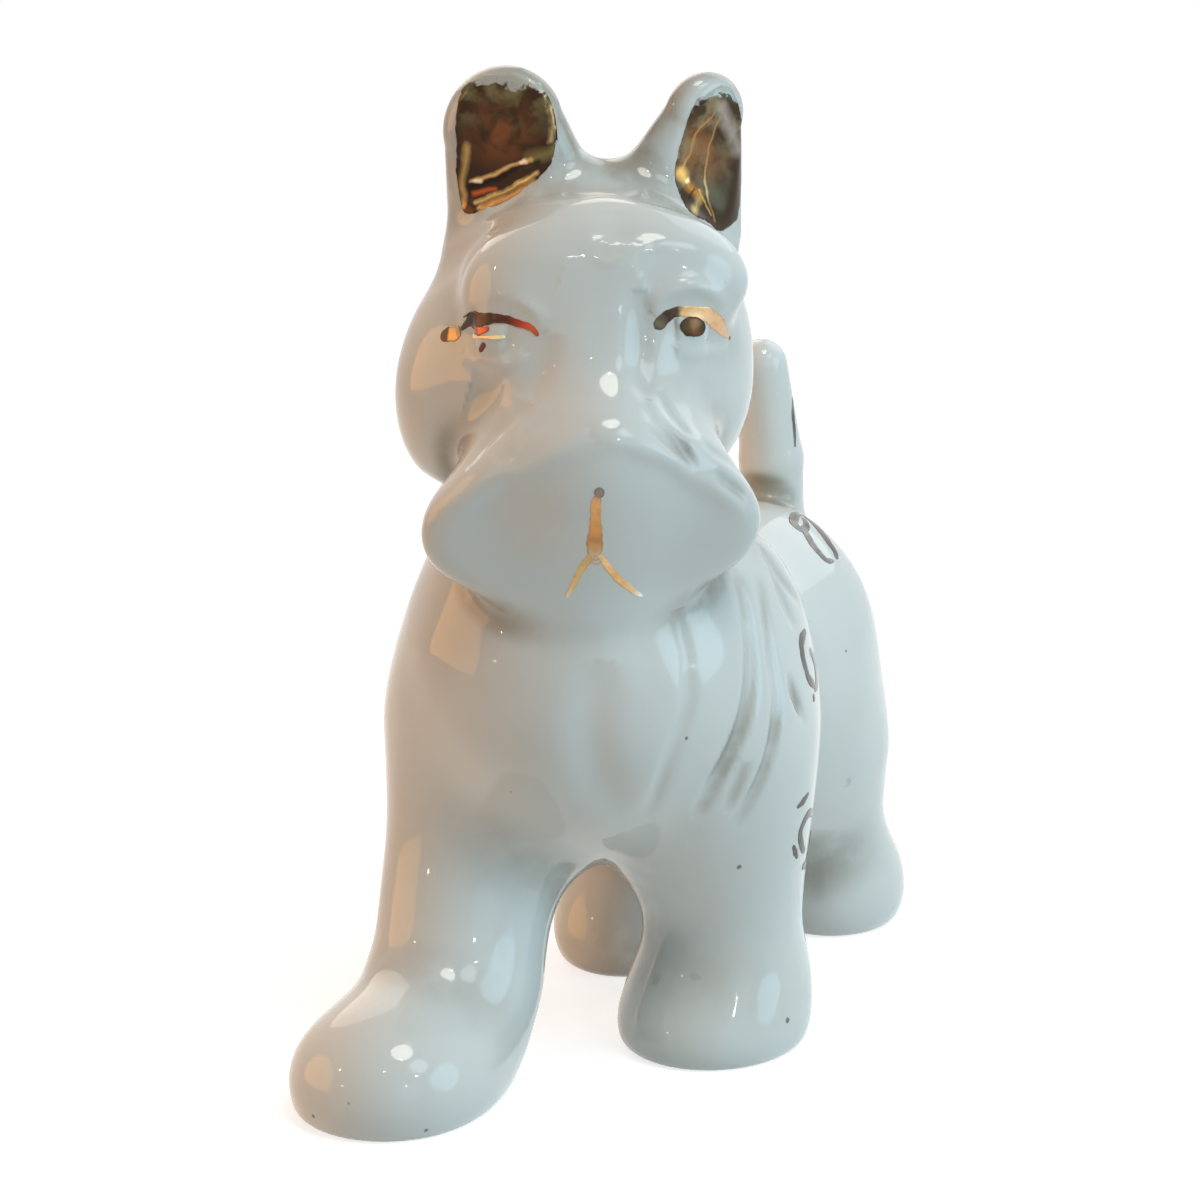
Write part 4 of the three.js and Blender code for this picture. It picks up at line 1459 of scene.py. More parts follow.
def wear_group() -> bpy.types.NodeTree:
    """Builds the patches in which a painted film has rubbed away, most of all where it is exposed.

    Returns:
        A group with the mask of the worn places.
    """
    bench, given, made = group("rubbed_film", {"Place": NOWHERE, "Exposed": 0.0, "Wear": 0.5,
                                               "Grain": 500.0}, "Mask")
    grain = bench.noise(given("Place"), given("Grain"), 4.0, 0.6)
    level = bench.math("ADD", grain, bench.math("MULTIPLY", given("Exposed"), given("Wear")))
    threshold = 0.78
    sharpness = 8.0
    bench.wire(bench.math("MULTIPLY", bench.math("SUBTRACT", level, threshold), sharpness, clamp=True), made)
    return bench.tree


def streak_group() -> bpy.types.NodeTree:
    """Builds a soft streak along a straight line.

    Returns:
        A group with the mask of the streak.
    """
    bench, given, made = group("paint_streak", {"Place": NOWHERE, "Start": NOWHERE, "End": (1.0, 0.0, 0.0),
                                                "Width": 0.3, "Softness": 0.5}, "Mask")
    start = given("Start")
    reach = bench.vector_math("SUBTRACT", given("Place"), start).outputs[0]
    along = bench.vector_math("SUBTRACT", given("End"), start).outputs[0]
    run = bench.vector_math("DOT_PRODUCT", reach, along).outputs["Value"]
    whole = bench.vector_math("DOT_PRODUCT", along, along).outputs["Value"]
    share = bench.math("DIVIDE", run, whole, clamp=True)
    foot = bench.add("ShaderNodeVectorMath", {"operation": "SCALE"}, in_0=along, in_3=share).outputs[0]
    apart = bench.vector_math("DISTANCE", reach, foot).outputs["Value"]
    depth = bench.math("SUBTRACT", given("Width"), apart)
    soft = bench.math("MULTIPLY", given("Width"), given("Softness"))
    bench.wire(bench.math("DIVIDE", depth, soft, clamp=True), made)
    return bench.tree


@dataclass(frozen=True)
class Groups:
    """The node groups that the finishes share."""

    spot: bpy.types.NodeTree
    specks: bpy.types.NodeTree
    ripple: bpy.types.NodeTree
    wear: bpy.types.NodeTree
    streak: bpy.types.NodeTree


def shared_groups() -> Groups:
    """Builds the shared node groups."""
    return Groups(spot_group(), specks_group(), ripple_group(), wear_group(), streak_group())


def new_material(name: str) -> tuple[bpy.types.Material, Bench, bpy.types.Node]:
    """Starts a material with one Principled shader.

    Args:
        name: The material's name.

    Returns:
        The material, a bench on its tree and the shader.
    """
    material = bpy.data.materials.new(name)
    material.use_nodes = True
    bench = Bench(material.node_tree)
    output = bench.add("ShaderNodeOutputMaterial")
    shader = bench.add("ShaderNodeBsdfPrincipled")
    bench.wire(shader.outputs["BSDF"], output.inputs["Surface"])
    return material, bench, shader


def coat(bench: Bench, shader: bpy.types.Node, ripple: object, distance: float = 0.001,
         **sockets: object) -> None:
    """Wires a shader's inputs and lays a ripple on it.

    Args:
        bench: The bench of the material.
        shader: The shader.
        ripple: The height of the ripple.
        distance: How strongly the ripple is felt.
        **sockets: A value, or another node's output, for each input. Underscores stand for spaces.
    """
    for name, value in sockets.items():
        bench.wire(value, bench.socket(shader, name))
    bump = bench.add("ShaderNodeBump", Height=ripple, Strength=1.0, Distance=distance)
    bench.wire(bump.outputs["Normal"], shader.inputs["Normal"])


def tint(colour: Triple) -> tuple[float, float, float, float]:
    """Gives a colour with full cover, as a socket takes it."""
    return (*colour, 1.0)


@dataclass(frozen=True)
class Porcelain:
    """A white body under a thick clear glaze, greyer in hollows, where the glaze pools and painted shade is
    laid, with specks, a little dirt and painted shade mixed with dirt in the deeper hollows.
    """

    name: str = "glazed_porcelain"
    body: Triple = (0.84, 0.84, 0.815)
    # grey of pooled glaze, which is also laid as painted shade in hollows
    pooled_glaze_and_shade: Triple = (0.60, 0.61, 0.59)
    crest: Triple = (0.88, 0.875, 0.84)
    warm: Triple = (0.78, 0.72, 0.63)
    # brown of dirt, also laid as painted shade in deep hollows such as under the chin
    dirt_and_shade: Triple = (0.36, 0.30, 0.22)
    speck: Triple = (0.10, 0.07, 0.05)
    roughness: float = 0.04
    haze: float = 0.05  # of roughness, in patches
    haze_scale: float = 90.0
    index: float = 1.5
    gloss: float = 0.4
    pooling_and_shade_depths: tuple[float, float] = (0.04, 0.55)  # how deep the hollows are in which glaze pools and painted shade greys it
    thinning: tuple[float, float] = (0.25, 0.8)  # how sharp the crests are on which it runs thin
    dirt_and_shade_depths: tuple[float, float] = (0.1, 0.5)  # how deep the hollows are that hold dirt and painted shade
    clouds: Mottle = Mottle(45.0, 3.0, 0.35, 0.75, 0.2)
    patches: Mottle = Mottle(70.0, 2.0, 0.5, 0.8, 0.35, 0.5)
    dirt_and_shade_patches: Mottle = Mottle(260.0, 4.0, 0.25, 0.6, 0.8)
    dirt_share: float = 0.3
    speck_share: float = 0.8
    specks: tuple[tuple[Triple, float], ...] = (
        ((1.5, -29.5, 60.3), 0.22),
        ((-4.1, -26.7, 61.1), 0.2),
        ((-8.2, -42.4, 3.7), 0.3),
        ((-2.6, -39.1, 1.0), 0.3),
        ((-11.9, -41.7, 1.7), 0.25),
        ((17.4, -9.0, 3.7), 0.35),
        ((13.2, -21.9, 32.3), 0.25),
        ((14.3, -18.3, 25.8), 0.25),
        ((14.6, -13.7, 18.9), 0.3),
        ((-4.1, -28.4, 33.0), 0.2),
        ((-0.5, -27.2, 27.5), 0.2),
    )
    dirt: tuple[tuple[Triple, float], ...] = (
        ((-11.4, -30.6, 11.1), 1.2),
        ((10.4, -13.3, 8.2), 1.0),
        ((6.4, -13.1, 7.1), 1.0),
        ((13.1, 17.8, 17.6), 1.2),
        ((-14.5, -21.4, 24.6), 1.2),
    )

    def marks(self, bench: Bench, groups: Groups, place: object, spots: tuple, ragged: float) -> object:
        """Joins the masks of named spots.

        Args:
            bench: The bench of the material.
            groups: The shared node groups.
            place: The place on the object.
            spots: The middle of each spot in the potter's frame, and its radius, in millimetres.
            ragged: How ragged the spots are.

        Returns:
            The mask of all spots.
        """
        mask = 0.0
        for middle, size in spots:
            at = tuple(float(number) for number in in_frame(np.array(middle)))
            one = bench.use(groups.spot, Place=place, Middle=at, Size=size * MM, Ragged=ragged)
            mask = bench.math("MAXIMUM", mask, one)
        return mask

    def material(self, groups: Groups) -> bpy.types.Material:
        """Makes the material.

        Args:
            groups: The shared node groups.

        Returns:
            The glazed porcelain.
        """
        material, bench, shader = new_material(self.name)
        place = bench.place()
        hollow = bench.read("hollow")
        crest = bench.read("crest")
        # painted shade: greyer in hollows, partly glaze that pools there and partly shade laid in as colour
        colour = bench.blend(bench.ramp(hollow, *self.pooling_and_shade_depths), tint(self.body), tint(self.pooled_glaze_and_shade))
        colour = bench.blend(bench.ramp(crest, *self.thinning), colour, tint(self.crest))
        colour = bench.blend(bench.mottle(place, self.clouds), colour, tint(self.pooled_glaze_and_shade))
        colour = bench.blend(bench.mottle(place, self.patches), colour, tint(self.warm))
        # painted shade mixed with dirt: brown in patches in the deeper hollows, such as under the chin and
        # along the creases
        hollow_dirt_and_shade = bench.math("MULTIPLY", bench.mottle(place, self.dirt_and_shade_patches), bench.ramp(hollow, *self.dirt_and_shade_depths))
        smears = bench.math("MULTIPLY", self.marks(bench, groups, place, self.dirt, 1.0), self.dirt_share)
        colour = bench.blend(bench.math("MAXIMUM", hollow_dirt_and_shade, smears), colour, tint(self.dirt_and_shade))
        named = self.marks(bench, groups, place, self.specks, 0.6)
        specks = bench.math("MAXIMUM", named, bench.use(groups.specks, Place=place))
        colour = bench.blend(bench.math("MULTIPLY", specks, self.speck_share), colour, tint(self.speck))
        haze = bench.math("MULTIPLY", bench.noise(place, self.haze_scale, 4.0), self.haze)
        coat(bench, shader, bench.use(groups.ripple, Place=place), 1.0, Base_Color=colour,
             Roughness=bench.math("ADD", haze, self.roughness), IOR=self.index, Specular_IOR_Level=self.gloss)
        return material


@dataclass(frozen=True)
class BrushedGold:
    """Bright gold in one touch of the brush: thick and dark at its start, thin and paler as it runs out."""

    name: str
    colours: tuple[tuple[float, Triple], ...]  # from the touch's start, at 0, to its end, at 1
    edge: Triple = (0.16, 0.07, 0.025)
    edge_share: float = 0.35
    metal: float = 0.6
    roughness: float = 0.24
    flow: Triple = (900.0, 3.0, 0.8)  # scale, detail and twist of the noise in which the gold has run
    rim: tuple[float, float] = (0.55, 1.0)  # how far across the touch its dark rim begins, and is full
    thin: Mottle = Mottle(1600.0, 3.0, 0.45, 0.75, 0.22)

    def material(self, groups: Groups) -> bpy.types.Material:
        """Makes the material.

        Args:
            groups: The shared node groups.

        Returns:
            The gold of the touch.
        """
        material, bench, shader = new_material(self.name)
        place = bench.place()
        across, along = bench.brush()
        flow = bench.math("SUBTRACT", bench.noise(place, *self.flow), 0.5)
        colour = bench.stations(bench.math("ADD", along, bench.math("MULTIPLY", flow, 0.1)), self.colours)
        across = bench.math("ABSOLUTE", bench.math("ADD", across, bench.math("MULTIPLY", flow, 0.5)))
        edge = bench.math("MULTIPLY", bench.ramp(across, *self.rim), self.edge_share)
        colour = bench.blend(edge, colour, tint(self.edge))
        colour = bench.blend(bench.mottle(place, self.thin), colour, tint(self.edge))
        haze = bench.math("MULTIPLY", flow, 0.15)
        coat(bench, shader, bench.use(groups.ripple, Place=place, Broad=0.3, Fine=2.0), Base_Color=colour,
             Metallic=self.metal, Roughness=bench.math("ADD", haze, self.roughness))
        return material


@dataclass(frozen=True)
class StreakAndReflection:
    """A streak in the gold of an ear, partly the gold's own streaking and partly a painted reflection of the
    room: points across and up in the ear's frame, and its look.
    """

    points: tuple[tuple[float, float], ...]
    width: float  # half of it, in millimetres
    colour: Triple
    strength: float = 0.9
    softness: float = 0.95


@dataclass(frozen=True)
class EarGold:
    """Bright gold poured in the dish of an ear and rubbed off its rim, with painted reflections: its dark and
    brown base and its streaks stand for the room mirrored in the gold, together with its own worn lustre, and
    its near-white streaks are painted glints.
    """

    name: str
    centre: tuple[float, float]
    top: float  # height at which the rubbed part begins
    streaks_and_reflections: tuple[StreakAndReflection, ...]
    # painted reflection: the dark and brown base stand for the dark room mirrored in the gold, with its own
    # worn lustre
    dark: Triple = (0.040, 0.019, 0.009)
    brown: Triple = (0.155, 0.052, 0.018)
    olive: Triple = (0.17, 0.14, 0.06)
    mottled: float = 5.0  # how far below the top the mottles begin
    rubbed: Triple = (0.62, 0.60, 0.54)
    swirl: float = 0.9  # how far, in millimetres, the painted streaks and reflections are bent
    flow: Triple = (330.0, 4.0, 1.2)  # scale, detail and twist of the noise in which the gold has run, which also breaks up the painted reflections
    heart: tuple[float, float] = (4.2, 0.5)  # how far from the centre the brown begins, and is full
    warmth: tuple[float, float] = (0.32, 0.6)
    mottles: Mottle = Mottle(620.0, 4.0, 0.42, 0.66, 0.75)
    metal: float = 0.85
    roughness: float = 0.12

    def material(self, groups: Groups) -> bpy.types.Material:
        """Makes the material.

        Args:
            groups: The shared node groups.

        Returns:
            The gold of the ear.
        """
        material, bench, shader = new_material(self.name)
        place = bench.place()
        brush = bench.add("ShaderNodeUVMap", {"uv_map": "brush"}).outputs[0]
        swirl = bench.add("ShaderNodeTexNoise", Vector=brush, Scale=0.55, Detail=2.0).outputs["Color"]
        bent = bench.vector_math("SUBTRACT", swirl, (0.5, 0.5, 0.5)).outputs[0]
        bent = bench.vector_math("MULTIPLY", bent, (self.swirl, self.swirl, 0.0)).outputs[0]
        bent = bench.vector_math("ADD", bent, brush).outputs[0]
        flow = bench.noise(place, *self.flow)
        heart = bench.vector_math("DISTANCE", bent, (*self.centre, 0.0)).outputs["Value"]
        # painted reflection: browner towards the middle of the dish, in patches, over the mirrored dark
        warm = bench.math("MULTIPLY", bench.ramp(heart, *self.heart), bench.ramp(flow, *self.warmth))
        colour = bench.blend(warm, tint(self.dark), tint(self.brown))
        height = bench.add("ShaderNodeSeparateXYZ", Vector=bent).outputs["Y"]
        high = bench.ramp(height, self.top - self.mottled, self.top + 1.0)
        mottle = bench.math("MULTIPLY", bench.mottle(place, self.mottles), high)
        colour = bench.blend(mottle, colour, tint(self.olive))
        # painted reflections and glints of the room, together with the gold's own streaking
        for streak in self.streaks_and_reflections:
            mask = 0.0
            for start, end in zip(streak.points[:-1], streak.points[1:]):
                one = bench.use(groups.streak, Place=bent, Start=(*start, 0.0), End=(*end, 0.0),
                                Width=streak.width,
                                Softness=streak.softness)
                mask = bench.math("MAXIMUM", mask, one)
            broken = bench.math("ADD", bench.math("MULTIPLY", flow, 0.5), 0.7, clamp=True)
            share = bench.math("MULTIPLY", bench.math("MULTIPLY", mask, streak.strength), broken)
            colour = bench.blend(share, colour, tint(streak.colour))
        tip = bench.math("MULTIPLY", bench.ramp(height, self.top - 1.5, self.top + 2.0), 0.55)
        rim = bench.math("MULTIPLY", bench.ramp(bench.read("rim"), 0.85, 1.0), 0.2)
        exposed = bench.math("ADD", tip, rim)
        worn = bench.use(groups.wear, Place=place, Exposed=exposed, Wear=0.75, Grain=800.0)
        worn = bench.math("MULTIPLY", worn, self.metal)
        colour = bench.blend(worn, colour, tint(self.rubbed))
        haze = bench.math("MULTIPLY", flow, 0.2)
        coat(bench, shader, bench.use(groups.ripple, Place=place, Broad=0.8, Fine=3.0), Base_Color=colour,
             Metallic=bench.math("SUBTRACT", self.metal, worn),
             Roughness=bench.math("ADD", haze, self.roughness))
        return material


@dataclass(frozen=True)
class ScrollEnamel:
    """Dark brown enamel, thin and paler towards the edges and the ends of a touch."""

    name: str = "dark_enamel"
    dark: Triple = (0.020, 0.013, 0.009)
    thin: Triple = (0.30, 0.27, 0.235)
    fade: float = 0.5
    side: tuple[float, float] = (0.35, 1.0)  # how far across the touch it begins to thin, and is thinnest
    end: tuple[float, float] = (0.3, 0.5)  # the same, along it from its middle
    flow: Mottle = Mottle(900.0, 3.0, 0.38, 0.72)
    roughness: float = 0.12

    def material(self, groups: Groups) -> bpy.types.Material:
        """Makes the material.

        Args:
            groups: The shared node groups.

        Returns:
            The enamel.
        """
        material, bench, shader = new_material(self.name)
        place = bench.place()
        across, along = bench.brush()
        sides = bench.ramp(bench.math("ABSOLUTE", across), *self.side)
        ends = bench.ramp(bench.math("ABSOLUTE", bench.math("SUBTRACT", along, 0.5)), *self.end)
        flow = bench.math("MULTIPLY", bench.mottle(place, self.flow), self.fade)
        border = bench.math("MULTIPLY", bench.math("MAXIMUM", sides, ends), self.fade)
        colour = bench.blend(bench.math("ADD", flow, border, clamp=True), tint(self.dark), tint(self.thin))
        coat(bench, shader, bench.use(groups.ripple, Place=place, Broad=0.5, Fine=1.0), Base_Color=colour,
             Roughness=self.roughness)
        return material


Finish = Porcelain | BrushedGold | EarGold | ScrollEnamel


class Palette:
    """Makes each finish once."""

    def __init__(self) -> None:
        """Builds the shared groups."""
        self.groups = shared_groups()
        self.made: dict[str, bpy.types.Material] = {}

    def mix(self, finish: Finish) -> bpy.types.Material:
        """Gives the material of a finish."""
        if finish.name not in self.made:
            self.made[finish.name] = finish.material(self.groups)
        return self.made[finish.name]


# Gold and enamel


@dataclass(frozen=True)
class Touch:
    """One touch of the brush: a line of points, its half width along the line, and its finish."""

    points: tuple[Triple, ...]
    widths: tuple[float, ...]
    finish: Finish
    wobble: float = 0.05
    across: int = 8
    along: int = 48
    slow: float = 3.1  # radians of the edge's slow wave for each millimetre
    fast: float = 7.3
    tip: float = 0.0004  # squared share of the width that is left at the very ends

    def lay(self, film: Film, matrix: Matrix, seed: float) -> None:
        """Lays the touch on the glaze.

        Args:
            film: The film that it becomes a part of.
            matrix: The frame in which its points are given.
            seed: Makes its edges unlike another touch's.
        """
        form = film.form
        turn = np.array(matrix)
        line = settled(form, route(self.points, 200) @ turn[:3, :3].T + turn[:3, 3])
        steps = np.linalg.norm(np.diff(line, axis=0), axis=1)
        run = np.concatenate(([0], np.cumsum(steps)))

        def along_line(at: Points) -> Points:
            """Gives the points of the line at these distances from its start."""
            return np.stack([np.interp(at, run, line[:, k]) for k in range(3)], axis=1)

        def place(grid: Points) -> tuple[Points, Points, Points]:
            """Places the sheet's points on both sides of the line.

            Args:
                grid: The points, from -1 to 1 each way.

            Returns:
                Their places on the skin, the brush's coordinates, and how near the rim they lie.
            """
            share = (grid[:, 1] + 1) / 2
            at = share * run[-1]
            middle = along_line(at)
            side = np.cross(outward(form, middle), along_line(at + 0.05) - along_line(at - 0.05))
            side /= np.linalg.norm(side, axis=1, keepdims=True)
            half = np.interp(share, np.linspace(0, 1, len(self.widths)), self.widths)
            wave = np.sin(self.slow * at + seed + 2 * grid[:, 0]) + np.sin(self.fast * at + 2 * seed)
            half *= 1 + self.wobble * wave
            end = np.minimum(at, run[-1] - at) / np.maximum(half, TINY)
            half *= np.sqrt(np.clip(1 - (1 - np.clip(end, 0, 1)) ** 2, self.tip, 1))
            places = settled(form, middle + side * (grid[:, 0] * half)[:, None], 4)
            return places, np.stack((grid[:, 0], share), axis=1), np.abs(grid[:, 0])

        film.add_sheet(self.across, self.along, place)


@dataclass(frozen=True)
class Painting:
    """All touches of the brush that make one painted piece."""

    node: str
    slot: Slot
    touches: tuple[Touch, ...]
    on_head: bool = False

    def build(self, form: Form) -> bpy.types.Object:
        """Paints the piece on the glaze.

        Args:
            form: The form of the skin.

        Returns:
            The film.
        """
        film = Film(self.node, form)
        for number, touch in enumerate(self.touches):
            seed = number + sum(ord(letter) for letter in self.node)
            touch.lay(film, IN_HEAD if self.on_head else Matrix(), seed)
        return film.finish(self.slot)

    def dress(self, made: bpy.types.Object, palette: Palette) -> None:
        """Gives each touch its finish."""
        for touch in self.touches:
            made.data.materials.append(palette.mix(touch.finish))


@dataclass(frozen=True)
class Gilding:
    """A patch of gold in the dish of an ear: its outline across and up in the ear's frame."""

    node: str
    ear: Ear
    outline: tuple[tuple[float, float], ...]
    finish: EarGold
    segments: int = 72
    wobble: float = 0.008
    waves: tuple[Triple, ...] = ((1.0, 9, 1), (0.6, 17, 2), (0.4, 31, 0))  # height, number of them, start
    depths: Triple = (-9.0, 1.0, 0.25)  # where the dish is looked for, from its front back

    def build(self, form: Form) -> bpy.types.Object:
        """Paints the patch on the glaze.

        Args:
            form: The form of the skin.

        Returns:
            The film.
        """
        flat = [(x, 0.0, z) for x, z in self.outline]
        outline = route([*flat, flat[0]], 360)[:, [0, 2]]
        middle = outline.mean(axis=0)
        angle = np.arctan2(outline[:, 1] - middle[1], outline[:, 0] - middle[0])
        radius = np.linalg.norm(outline - middle, axis=1)
        order = np.argsort(angle)
        turned = np.array(self.ear.matrix())

        def in_world(flat_places: Points, depth: Points) -> Points:
            """Brings places in the dish into the potter's frame."""
            here = np.stack((flat_places[:, 0], depth, flat_places[:, 1]), axis=1)
            return here @ turned[:3, :3].T + turned[:3, 3]

        def place(grid: Points) -> tuple[Points, Points, Points]:
            """Places the sheet's points inside the outline.

            Args:
                grid: The points, from -1 to 1 each way.

            Returns:
                Their places on the skin, their places in the dish, and how near the rim they lie.
            """
            x = grid[:, 0] * np.sqrt(1 - grid[:, 1] ** 2 / 2)
            z = grid[:, 1] * np.sqrt(1 - grid[:, 0] ** 2 / 2)
            turn = np.arctan2(z, x)
            reach = np.interp(turn, angle[order], radius[order], period=2 * math.pi)
            wave = sum(height * np.sin(count * turn + start) for height, count, start in self.waves)
            reach *= 1 + self.wobble * wave
            flat_places = middle + np.stack((x, z), axis=1) * reach[:, None]
            found = np.full(len(grid), np.nan)
            for depth in np.arange(*self.depths):
                value = form(in_world(flat_places, np.full(len(grid), depth)))
                found[np.isnan(found) & (value < 0)] = depth
            found = np.where(np.isnan(found), 0, found)
            places = settled(form, in_world(flat_places, found), 6)
            return places, flat_places, np.hypot(x, z)

        film = Film(self.node, form)
        film.add_sheet(self.segments, self.segments, place)
        return film.finish(Slot.GOLD)

    def dress(self, made: bpy.types.Object, palette: Palette) -> None:
        """Gives the patch its finish."""
        made.data.materials.append(palette.mix(self.finish))


RIGHT_EAR_GOLD = EarGold(
    name="right_ear_gold",
    centre=(-1.6, 7.6),
    top=10.8,
    # painted reflections of the room, with the gold's own streaking; the two near-white dots are painted
    # glints
    streaks_and_reflections=(
        StreakAndReflection(((1.1, 5.4), (2.8, 5.9)), 0.8, (0.20, 0.15, 0.05), 0.75),
        StreakAndReflection(((2.5, 9.3), (2.8, 8.2), (2.7, 6.9)), 0.35, (0.42, 0.25, 0.11), 0.7),
        StreakAndReflection(((-4.6, 1.3), (-4.6, 3.6), (-4.5, 6.2)), 0.45, (0.42, 0.24, 0.08), 0.85),
        StreakAndReflection(((-4.0, 2.6), (-1.6, 3.6), (1.8, 5.1)), 0.42, (0.016, 0.008, 0.005), 0.95),
        StreakAndReflection(((-3.8, 3.3), (-1.4, 4.2), (1.1, 5.3)), 0.3, (0.62, 0.33, 0.11), 0.95),
        StreakAndReflection(((-3.5, 3.25), (-3.2, 3.3)), 0.3, (1.0, 0.74, 0.5), 0.9),
        StreakAndReflection(((0.3, 4.95), (0.7, 5.1)), 0.3, (1.0, 0.74, 0.5), 0.9),
        StreakAndReflection(((-3.6, 2.2), (-1.9, 2.6)), 0.32, (0.50, 0.09, 0.02), 0.9),
        StreakAndReflection(((-3.4, 1.5), (-1.0, 2.4), (1.9, 4.2)), 0.3, (0.60, 0.36, 0.12), 0.9),
        StreakAndReflection(((-2.6, 1.1), (-0.5, 1.9), (1.6, 3.3)), 0.55, (0.66, 0.30, 0.08), 0.9),
    ),
)

LEFT_EAR_GOLD = EarGold(
    name="left_ear_gold",
    centre=(0.6, 5.4),
    top=9.4,
    # painted reflection: a darker and browner base for the room mirrored in this ear's gold
    dark=(0.050, 0.034, 0.020),
    brown=(0.20, 0.090, 0.035),
    olive=(0.26, 0.21, 0.12),
    mottled=9.0,
    rubbed=(0.58, 0.57, 0.53),
    # painted reflections of the room, with the gold's own streaking; the broad grey one is a painted
    # reflection and the near-white dot a painted glint
    streaks_and_reflections=(
        StreakAndReflection(((2.3, 9.1), (3.5, 7.4), (4.5, 5.4)), 0.9, (0.40, 0.37, 0.33), 0.7),
        StreakAndReflection(((-1.4, 4.0), (-0.6, 2.8), (0.5, 1.9)), 0.75, (0.56, 0.26, 0.06), 0.9),
        StreakAndReflection(((-0.5, 0.9), (0.6, 1.6)), 0.5, (0.46, 0.36, 0.13), 0.85),
        StreakAndReflection(((-0.8, 1.7), (0.1, 2.5)), 0.16, (0.03, 0.012, 0.006), 0.95),
        StreakAndReflection(((1.6, 8.8), (0.3, 7.5), (-0.6, 5.5), (-1.1, 4.3)), 0.18, (0.44, 0.22, 0.07), 0.8),
        StreakAndReflection(((2.3, 8.5), (1.4, 5.7), (1.2, 3.2), (2.0, -0.3)), 0.16, (0.42, 0.24, 0.09), 0.8),
        StreakAndReflection(((0.6, 2.4), (1.6, 0.2)), 0.16, (0.58, 0.36, 0.13), 0.9),
        StreakAndReflection(((-0.8, 3.2), (-0.6, 3.3)), 0.26, (1.0, 0.72, 0.4), 0.9),
        StreakAndReflection(((1.8, 10.4), (-0.4, 9.4)), 0.14, (0.025, 0.014, 0.01), 0.95),
    ),
)

GILDINGS = (
    Gilding(
        node="right_ear_gilding",
        ear=EARS[0],
        outline=((-3.3, 12.1), (-0.7, 12.1), (1.4, 11.3), (2.6, 9.3), (3.0, 7.7), (3.0, 6.0), (2.8, 4.8),
                 (1.4, 3.2),
                 (-1.1, 1.5), (-3.9, 0.6), (-4.7, 1.2), (-5.2, 3.3), (-5.3, 5.8), (-5.4, 9.2), (-5.0, 11.0)),
        finish=RIGHT_EAR_GOLD,
    ),
    Gilding(
        node="left_ear_gilding",
        ear=EARS[1],
        outline=((0.6, 10.3), (-0.2, 9.9), (-0.9, 8.2), (-1.3, 6.7), (-1.8, 4.6), (-1.8, 2.6), (-1.1, 0.8),
                 (0.6, -0.1),
                 (2.5, -1.1), (4.4, -0.7), (5.3, -0.1), (5.5, 3.7), (4.5, 8.0), (3.7, 9.9), (3.0, 10.8),
                 (1.6, 10.8)),
        finish=LEFT_EAR_GOLD,
    ),
)

BLACK_BROWN = (0.030, 0.014, 0.007)
OCHRE = (0.50, 0.27, 0.08)

BLOB_GOLD = BrushedGold(
    "blob_gold",
    ((0.0, BLACK_BROWN), (0.3, BLACK_BROWN), (0.42, OCHRE), (0.85, OCHRE), (1.0, BLACK_BROWN)),
)
BROW_GOLD = BrushedGold(
    "brow_gold",
    (
        (0.0, BLACK_BROWN), (0.3, (0.06, 0.02, 0.008)), (0.45, BLACK_BROWN), (0.66, (0.10, 0.02, 0.008)),
        (0.78, (0.45, 0.04, 0.012)), (0.9, (0.62, 0.10, 0.03)), (1.0, (0.4, 0.05, 0.02)),
    ),
)
RED_GOLD = BrushedGold(
    "red_gold",
    ((0.0, (0.22, 0.04, 0.012)), (0.5, (0.5, 0.10, 0.02)), (1.0, (0.3, 0.04, 0.012))),
)
# A painted highlight: a near-white line of gold where light glints on the rim of the lower lid.
GLINT_LINE_GOLD = BrushedGold(
    "painted_glint_line",
    ((0.0, (1.0, 0.82, 0.45)), (0.5, (0.9, 0.55, 0.2)), (1.0, (1.0, 0.82, 0.45))),
    edge_share=0.2, roughness=0.3,
)
DASH_GOLD = BrushedGold("dash_gold", ((0.0, (0.16, 0.02, 0.008)), (1.0, (0.09, 0.02, 0.01))))
PEACH_GOLD = BrushedGold(
    "peach_gold",
    (
        (0.0, (0.07, 0.05, 0.03)), (0.05, (0.13, 0.105, 0.065)), (0.14, BLACK_BROWN),
        (0.24, (0.06, 0.032, 0.014)), (0.28, (0.80, 0.50, 0.22)), (0.5, (0.92, 0.58, 0.31)),
        (0.7, (0.86, 0.50, 0.27)), (0.95, (0.80, 0.52, 0.30)), (1.0, (0.5, 0.3, 0.16)),
    ),
    edge_share=0.12, metal=0.45, roughness=0.3,
)
DOT_GOLD = BrushedGold("dot_gold", ((0.0, BLACK_BROWN), (1.0, BLACK_BROWN)))
PUPIL_GOLD = BrushedGold(
    "pupil_gold",
    (
        (0.0, BLACK_BROWN), (0.3, (0.10, 0.055, 0.018)), (0.5, (0.19, 0.07, 0.022)),
        (0.72, (0.11, 0.06, 0.024)), (1.0, BLACK_BROWN),
    ),
    edge=BLACK_BROWN, edge_share=0.85,
)
GREY_GOLD = BrushedGold("grey_gold", ((0.0, (0.24, 0.22, 0.20)), (1.0, (0.34, 0.24, 0.18))), metal=0.3)
NOSE_GOLD = BrushedGold(
    "nose_gold",
    (
        (0.0, (0.46, 0.28, 0.17)), (0.12, (0.74, 0.37, 0.14)), (0.5, (0.66, 0.30, 0.095)),
        (0.72, (0.52, 0.23, 0.07)), (0.88, (0.60, 0.33, 0.15)), (1.0, (0.72, 0.50, 0.32)),
    ),
    edge_share=0.18, metal=0.45, roughness=0.3,
)
